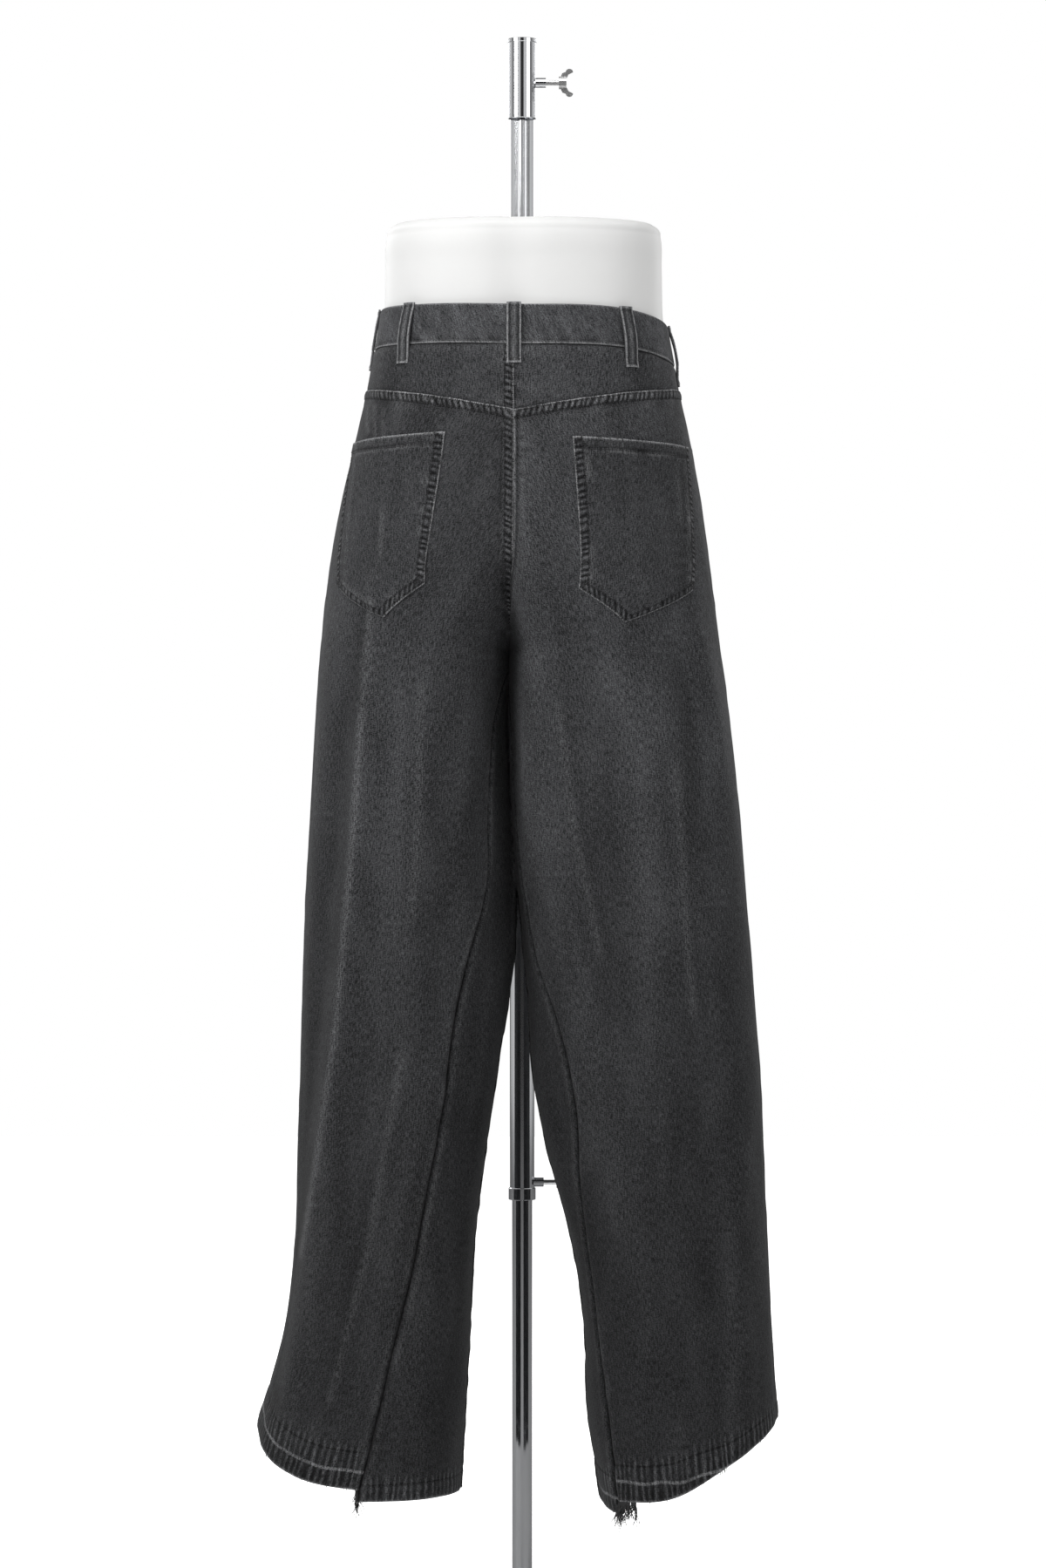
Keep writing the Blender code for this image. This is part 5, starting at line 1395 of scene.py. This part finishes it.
# %% Back pockets
POCKET = {
    "side": 0.148, "point": 0.033, "cant": 0.006, "out": 0.0024, "mouth_hem": 0.0130,
    "rows": (0.0019, 0.0088), "mouth_rows": (0.0095, 0.0118),
}
POCKETS = {  # mouth height, inner side's place, width, width at the foot, lean
    "left": (1.2150, 0.067, 0.142, 0.108, 0.021),
    "right": (1.2105, 0.057, 0.146, 0.128, 0.012),
}
for leg, seed in (("left", 211), ("right", 231)):
    mouth, inner, width, foot_width, lean = POCKETS[leg]
    u, v = np.meshgrid(spaced(0.135, 0.0022), spaced(0.17, 0.0022))
    depth = POCKET["side"] + POCKET["point"] * (1 - np.abs(2 * u - 1))
    height = mouth - POCKET["cant"] * u * (1 - v) - depth * v
    along = inner + lean * v + (width + (foot_width - width) * v) * u
    sheet = on_leg(leg, height, along / ring_length(leg, height), POCKET["out"])
    sheet.crumple(seed, 0.0003, 0.015, 0.03, 0.3)
    outer_folds = wave(sheet.last / 0.0085, seed + 1) * bell(sheet.last - 0.016, 0.014)
    sheet.lift += 0.0009 * outer_folds * ease(sheet.top / 0.03) * ease(sheet.bottom / 0.03)
    sheet.wear += 0.14 * np.clip(outer_folds, 0, 1)
    for name, offset in (("first", 2), ("last", 3), ("bottom", 4)):
        away, beside = sheet.edge(name)
        bulge = ripple(beside / 0.0125, away / 0.012, seed + offset)
        sheet.lift += 0.0007 * bulge * np.exp(-away / 0.010) - 0.0005 * bell(away - 0.0018, 0.0012)
        sheet.wear += 0.20 * np.clip(bulge, 0, 1) * bell(away - 0.0105, 0.006)
        sheet.wear += (0.62 + 0.2 * wave(beside / 0.015, seed + offset)) * bell(away - 0.0006, 0.0009)
        sheet.roll(name, drop=0.0012, reach=0.0010)
        sheet.stitch(name, *POCKET["rows"])
        sheet.mark(name, 0.9)
    band = ease((POCKET["mouth_hem"] - sheet.top) / 0.0016)
    roping = ripple(sheet.first / 0.012, sheet.top / 0.02, seed + 6)
    sheet.lift += 0.0007 * band + 0.0003 * roping * np.exp(-sheet.top / 0.02)
    sheet.lift -= 0.0006 * bell(sheet.top - POCKET["mouth_hem"] + 0.0014, 0.0013)
    sheet.wear += (0.75 + 0.2 * wave(sheet.first / 0.02, seed + 7)) * bell(sheet.top - 0.0005, 0.0010)
    sheet.wear += 0.22 * bell(sheet.top - POCKET["mouth_hem"] - 0.0004, 0.0011) * (0.7 + 0.6 * roping)
    # painted shade in the groove of the mouth hem's stitches and in the troughs of its roping
    sheet.shade *= 1 - 0.55 * bell(sheet.top - 0.0106, 0.0012) - 0.20 * band * np.clip(-roping, 0, 1)
    sheet.wear += 0.08 * band * np.clip(roping, 0, 1)
    sheet.stitch("top", *POCKET["mouth_rows"])
    dress(f"pocket_{leg}_cloth", sheet, "back_pocket_" + leg)

# %% Facings and fly shield
FACING_START, FACING_REACH, FACING_DROP = 0.010, 0.07, 0.034
for leg in LEG_SIDE:
    across = FACING_START + (SCOOP_WIDTH + FACING_REACH - FACING_START) * spaced(0.085, 0.005)
    side = waist_side(leg)
    down = (SCOOP_DEPTH + FACING_DROP) * spaced(0.11, 0.005)[:, None]
    height = band_bottom(leg, side + (1 - side) * across) - down
    start = side_share(leg, height)
    sheet = on_leg(leg, height, start + (1 - start) * across, -(WALL + 0.0015))
    sheet.crumple(251, 0.0003, 0.02, 0.03)
    dress(f"facing_{leg}_cloth", sheet, "pocket_facing_" + leg, tone=0.9)
FLY = {"width": 0.042, "under": 0.014, "length": 0.165}
parts = []
for leg, width in (("left", FLY["width"]), ("right", FLY["under"])):
    away = spaced(width, 0.004)[::-1] * width + 0.0003
    away = away[::-1] if leg == "right" else away
    height = band_bottom(leg, 1.0) - FLY["length"] * spaced(FLY["length"], 0.005)[:, None] + 0 * away
    parts.append((leg, height, 1 - away / ring_length(leg, height)))
sheet = across_body(parts, -(WALL + 0.0005))
sheet.crumple(261, 0.0003, 0.02, 0.03)
dress("fly_shield_cloth", sheet, "fly_shield")

# %% Belt loops
LOOP = {
    "width": 0.0142, "thick": 0.0018, "length": 0.060, "over": 0.0015, "stand_off": 0.0026,
    "lift": 0.00035, "row": 0.0031, "end_rows": (0.0026, 0.0040),
}
FLAT_LOOP = {"belt_loop_side_left": 0.35}  # share of the stand-off where a loop is pulled flat
LOOP_PLACES = (
    ("belt_loop_back", "left", 0.0), ("belt_loop_back_left", "left", 0.291),
    ("belt_loop_back_right", "right", 0.279), ("belt_loop_side_left", "left", 0.505),
    ("belt_loop_side_right", "right", 0.505), ("belt_loop_front_left", "left", 0.775),
    ("belt_loop_front_right", "right", 0.775),
)
for order, (name, leg, share) in enumerate(LOOP_PLACES):
    down = spaced(LOOP["length"], 0.0018)[:, None]
    across = (np.linspace(0, 1, 16) - 0.5) * LOOP["width"]
    height = waist_top(leg, share) + LOOP["over"] - LOOP["length"] * down + 0 * across
    below = np.clip((band_bottom(leg, share) + 0.002 - height) / 0.004, 0, 1)
    arch = np.sin(math.pi * np.clip((down - 0.10) / 0.76, 0, 1)) ** 0.7
    stand_off = LOOP["stand_off"] * FLAT_LOOP.get(name, 1)
    out = BAND_RISE * (1 - below) + LOOP["lift"] + LOOP["thick"] + stand_off * arch
    if share > 0:
        sheet = on_leg(leg, height, share + across / ring_length(leg, height), out)
    else:
        halves = []
        for side, chosen in (("right", across < 0), ("left", across > 0)):
            down = height[:, chosen]
            halves.append((side, down, np.abs(across[chosen]) / ring_length(side, down)))
        sheet = across_body(halves, out)
    middle = bell(sheet.first - LOOP["width"] / 2, 0.0022)
    nearest = np.minimum(sheet.first, sheet.last)
    uneven = ripple(sheet.first / 0.004, sheet.top / 0.008, 271 + order)
    sheet.lift += 0.0002 * uneven - 0.0004 * bell(nearest - 0.0030, 0.0009)
    sheet.lift -= 0.0006 * np.exp(-nearest / 0.0008)
    sheet.wear += 0.30 * middle * (0.8 + 0.5 * uneven) + 0.85 * bell(nearest - 0.0007, 0.0008)
    sheet.wear += 0.5 * (bell(sheet.top - 0.001, 0.0012) + bell(sheet.bottom - 0.001, 0.0014))
    # painted shade in the grooves of the edge stitches
    sheet.shade *= 1 - 0.45 * bell(nearest - 0.0031, 0.0010)
    for edge_name in ("first", "last"):
        sheet.stitch(edge_name, LOOP["row"])
    for edge_name in ("top", "bottom"):
        sheet.stitch(edge_name, *LOOP["end_rows"])
    band = ("waistband_cloth",)
    dress(name + "_cloth", sheet, name, band_cloth, LOOP["thick"], 1.05)

# %% [markdown]
# ## The form and the metal
#
# The form is a smooth limbless shell with a soft hollow down the middle of its back. It hangs by
# a chrome rod from a collar on an arm. A slim tube slides on an inner pole, held by a wing screw.

# %% Dress form
FORM_COLUMNS = ("height", "half_width", "back", "front")
FORM_SECTIONS = (
    (1.0300, 0.060, 0.042, 0.037), (1.0360, 0.102, 0.070, 0.062), (1.0500, 0.136, 0.094, 0.082),
    (1.0720, 0.157, 0.110, 0.095), (1.1050, 0.166, 0.118, 0.101), (1.1450, 0.1655, 0.119, 0.102),
    (1.1900, 0.159, 0.115, 0.101), (1.2400, 0.150, 0.107, 0.099), (1.2900, 0.143, 0.100, 0.097),
    (1.3380, 0.1385, 0.0965, 0.094), (1.3850, 0.1375, 0.0955, 0.093), (1.4150, 0.1365, 0.0945, 0.092),
    (1.4240, 0.1340, 0.0915, 0.0895), (1.4280, 0.1280, 0.0860, 0.0845),
)
FORM_X, FORM_SQUARENESS, FORM_STEPS = -0.0015, 2.2, 128
VALLEY = {"depth": 0.0035, "half_width": 0.020, "across": 0.008}


def form_points():
    """The form's rings, superellipses between its sections, drawn in to a point at both ends."""
    heights = np.concatenate([
        1.0300 + 0.02 * np.linspace(0, 1, 14) ** 1.6, np.linspace(1.054, 1.410, 60),
        np.linspace(1.412, 1.4280, 14),
    ])
    turn = 2 * math.pi * np.arange(FORM_STEPS) / FORM_STEPS
    power = 2 / FORM_SQUARENESS
    width, back, front = (
        through(FORM_SECTIONS, FORM_COLUMNS, name, heights)[:, None] for name in FORM_COLUMNS[1:]
    )
    across = np.sign(np.cos(turn)) * np.abs(np.cos(turn)) ** power
    x = FORM_X + width * across
    y = np.where(np.sin(turn) > 0, back, front) * np.sign(np.sin(turn)) * np.abs(np.sin(turn)) ** power
    hollow = VALLEY["depth"] * bell(x - VALLEY["across"], VALLEY["half_width"])
    hollow = hollow * ease((heights[:, None] - 1.2) / 0.1)
    y = np.where(y > 0.03, y - hollow, y)
    return np.stack([x, y + FORM_AXIS_Y, heights[:, None] + 0 * x], axis=-1)


rings = form_points()
rows, columns = rings.shape[:2]
ends = np.array([[FORM_X, FORM_AXIS_Y, 1.0290], [FORM_X, FORM_AXIS_Y, 1.4280]])
place = np.arange(rows - 1)[:, None] * columns + np.arange(columns)[None, :]
after = np.arange(rows - 1)[:, None] * columns + (np.arange(columns)[None, :] + 1) % columns
faces = np.stack([place, after, after + columns, place + columns], axis=-1).reshape(-1, 4).tolist()
bottom, last = rows * columns, (rows - 1) * columns
for k in range(columns):
    n = (k + 1) % columns
    faces += [(bottom, n, k), (bottom + 1, last + k, last + n)]
form_finish, tree, shader = new_material("form_satin")
place = spaces(tree, "Object")
clouds = noise(tree, place, 14.0, 3.0, flat=False)
pale = mix(tree, clouds, (0.62, 0.62, 0.615), (0.65, 0.65, 0.645))
feed(tree, shader.inputs["Base Color"], pale)
speckle = noise(tree, place, 420.0, 2.0, flat=False)
shader.inputs["Roughness"].default_value = 0.50
shader.inputs["Specular IOR Level"].default_value = 0.30
fine = add(tree, "ShaderNodeBump", {"Height": speckle, "Strength": 0.06, "Distance": 0.0004})
feed(tree, shader.inputs["Normal"], fine.outputs[0])
points = np.concatenate([rings.reshape(-1, 3), ends])
form_piece = make_mesh("form_body", points, faces, form_finish, 50)
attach(form_piece, "carriage")
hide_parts("dress_form")
print("form:", len(points), "points")


# %% Metal finishes
def metal(name, colour, rough, brushed):
    """A metal with faint streaks along its height and small differences of polish."""
    finish, tree, shader = new_material(name)
    place = spaces(tree, "Object")
    x, y, z = split(tree, place)
    turned = calc(tree, "ARCTAN2", y, x)
    lines = noise(tree, joined(tree, times(tree, turned, 160.0), times(tree, z, 3.0)), 1.0, 3.0)
    haze = noise(tree, place, 35.0, 2.0, flat=False)
    darker = tuple(0.93 * c for c in colour)
    feed(tree, shader.inputs["Base Color"], mix(tree, haze, darker, colour))
    shader.inputs["Metallic"].default_value = 1.0
    feed(tree, shader.inputs["Roughness"], plus(tree, rough, times(tree, haze, 0.5 * rough)))
    bump = add(tree, "ShaderNodeBump", {"Height": lines, "Strength": brushed, "Distance": 0.0002})
    feed(tree, shader.inputs["Normal"], bump.outputs[0])
    return finish


chrome = metal("polished_chrome", (0.80, 0.81, 0.83), 0.09, 0.02)
zinc = metal("zinc_plate", (0.62, 0.62, 0.62), 0.28, 0.12)
button_finish = metal("dark_button", (0.22, 0.21, 0.20), 0.35, 0.15)
KEPT = {
    "base_plate": chrome, "pole_socket": chrome, "inner_pole": chrome, "outer_tube": chrome,
    "hanger": chrome, "form_rod": chrome, "wing_screw_lower": zinc, "wing_screw_upper": zinc,
    "waist_button": button_finish,
}
for node, finish in KEPT.items():
    for obj in [o for o in bpy.data.objects if o.name == node or o.name.startswith(node + ".")]:
        for slot in obj.material_slots:
            slot.material = finish
print("kept metal nodes:", len(KEPT))
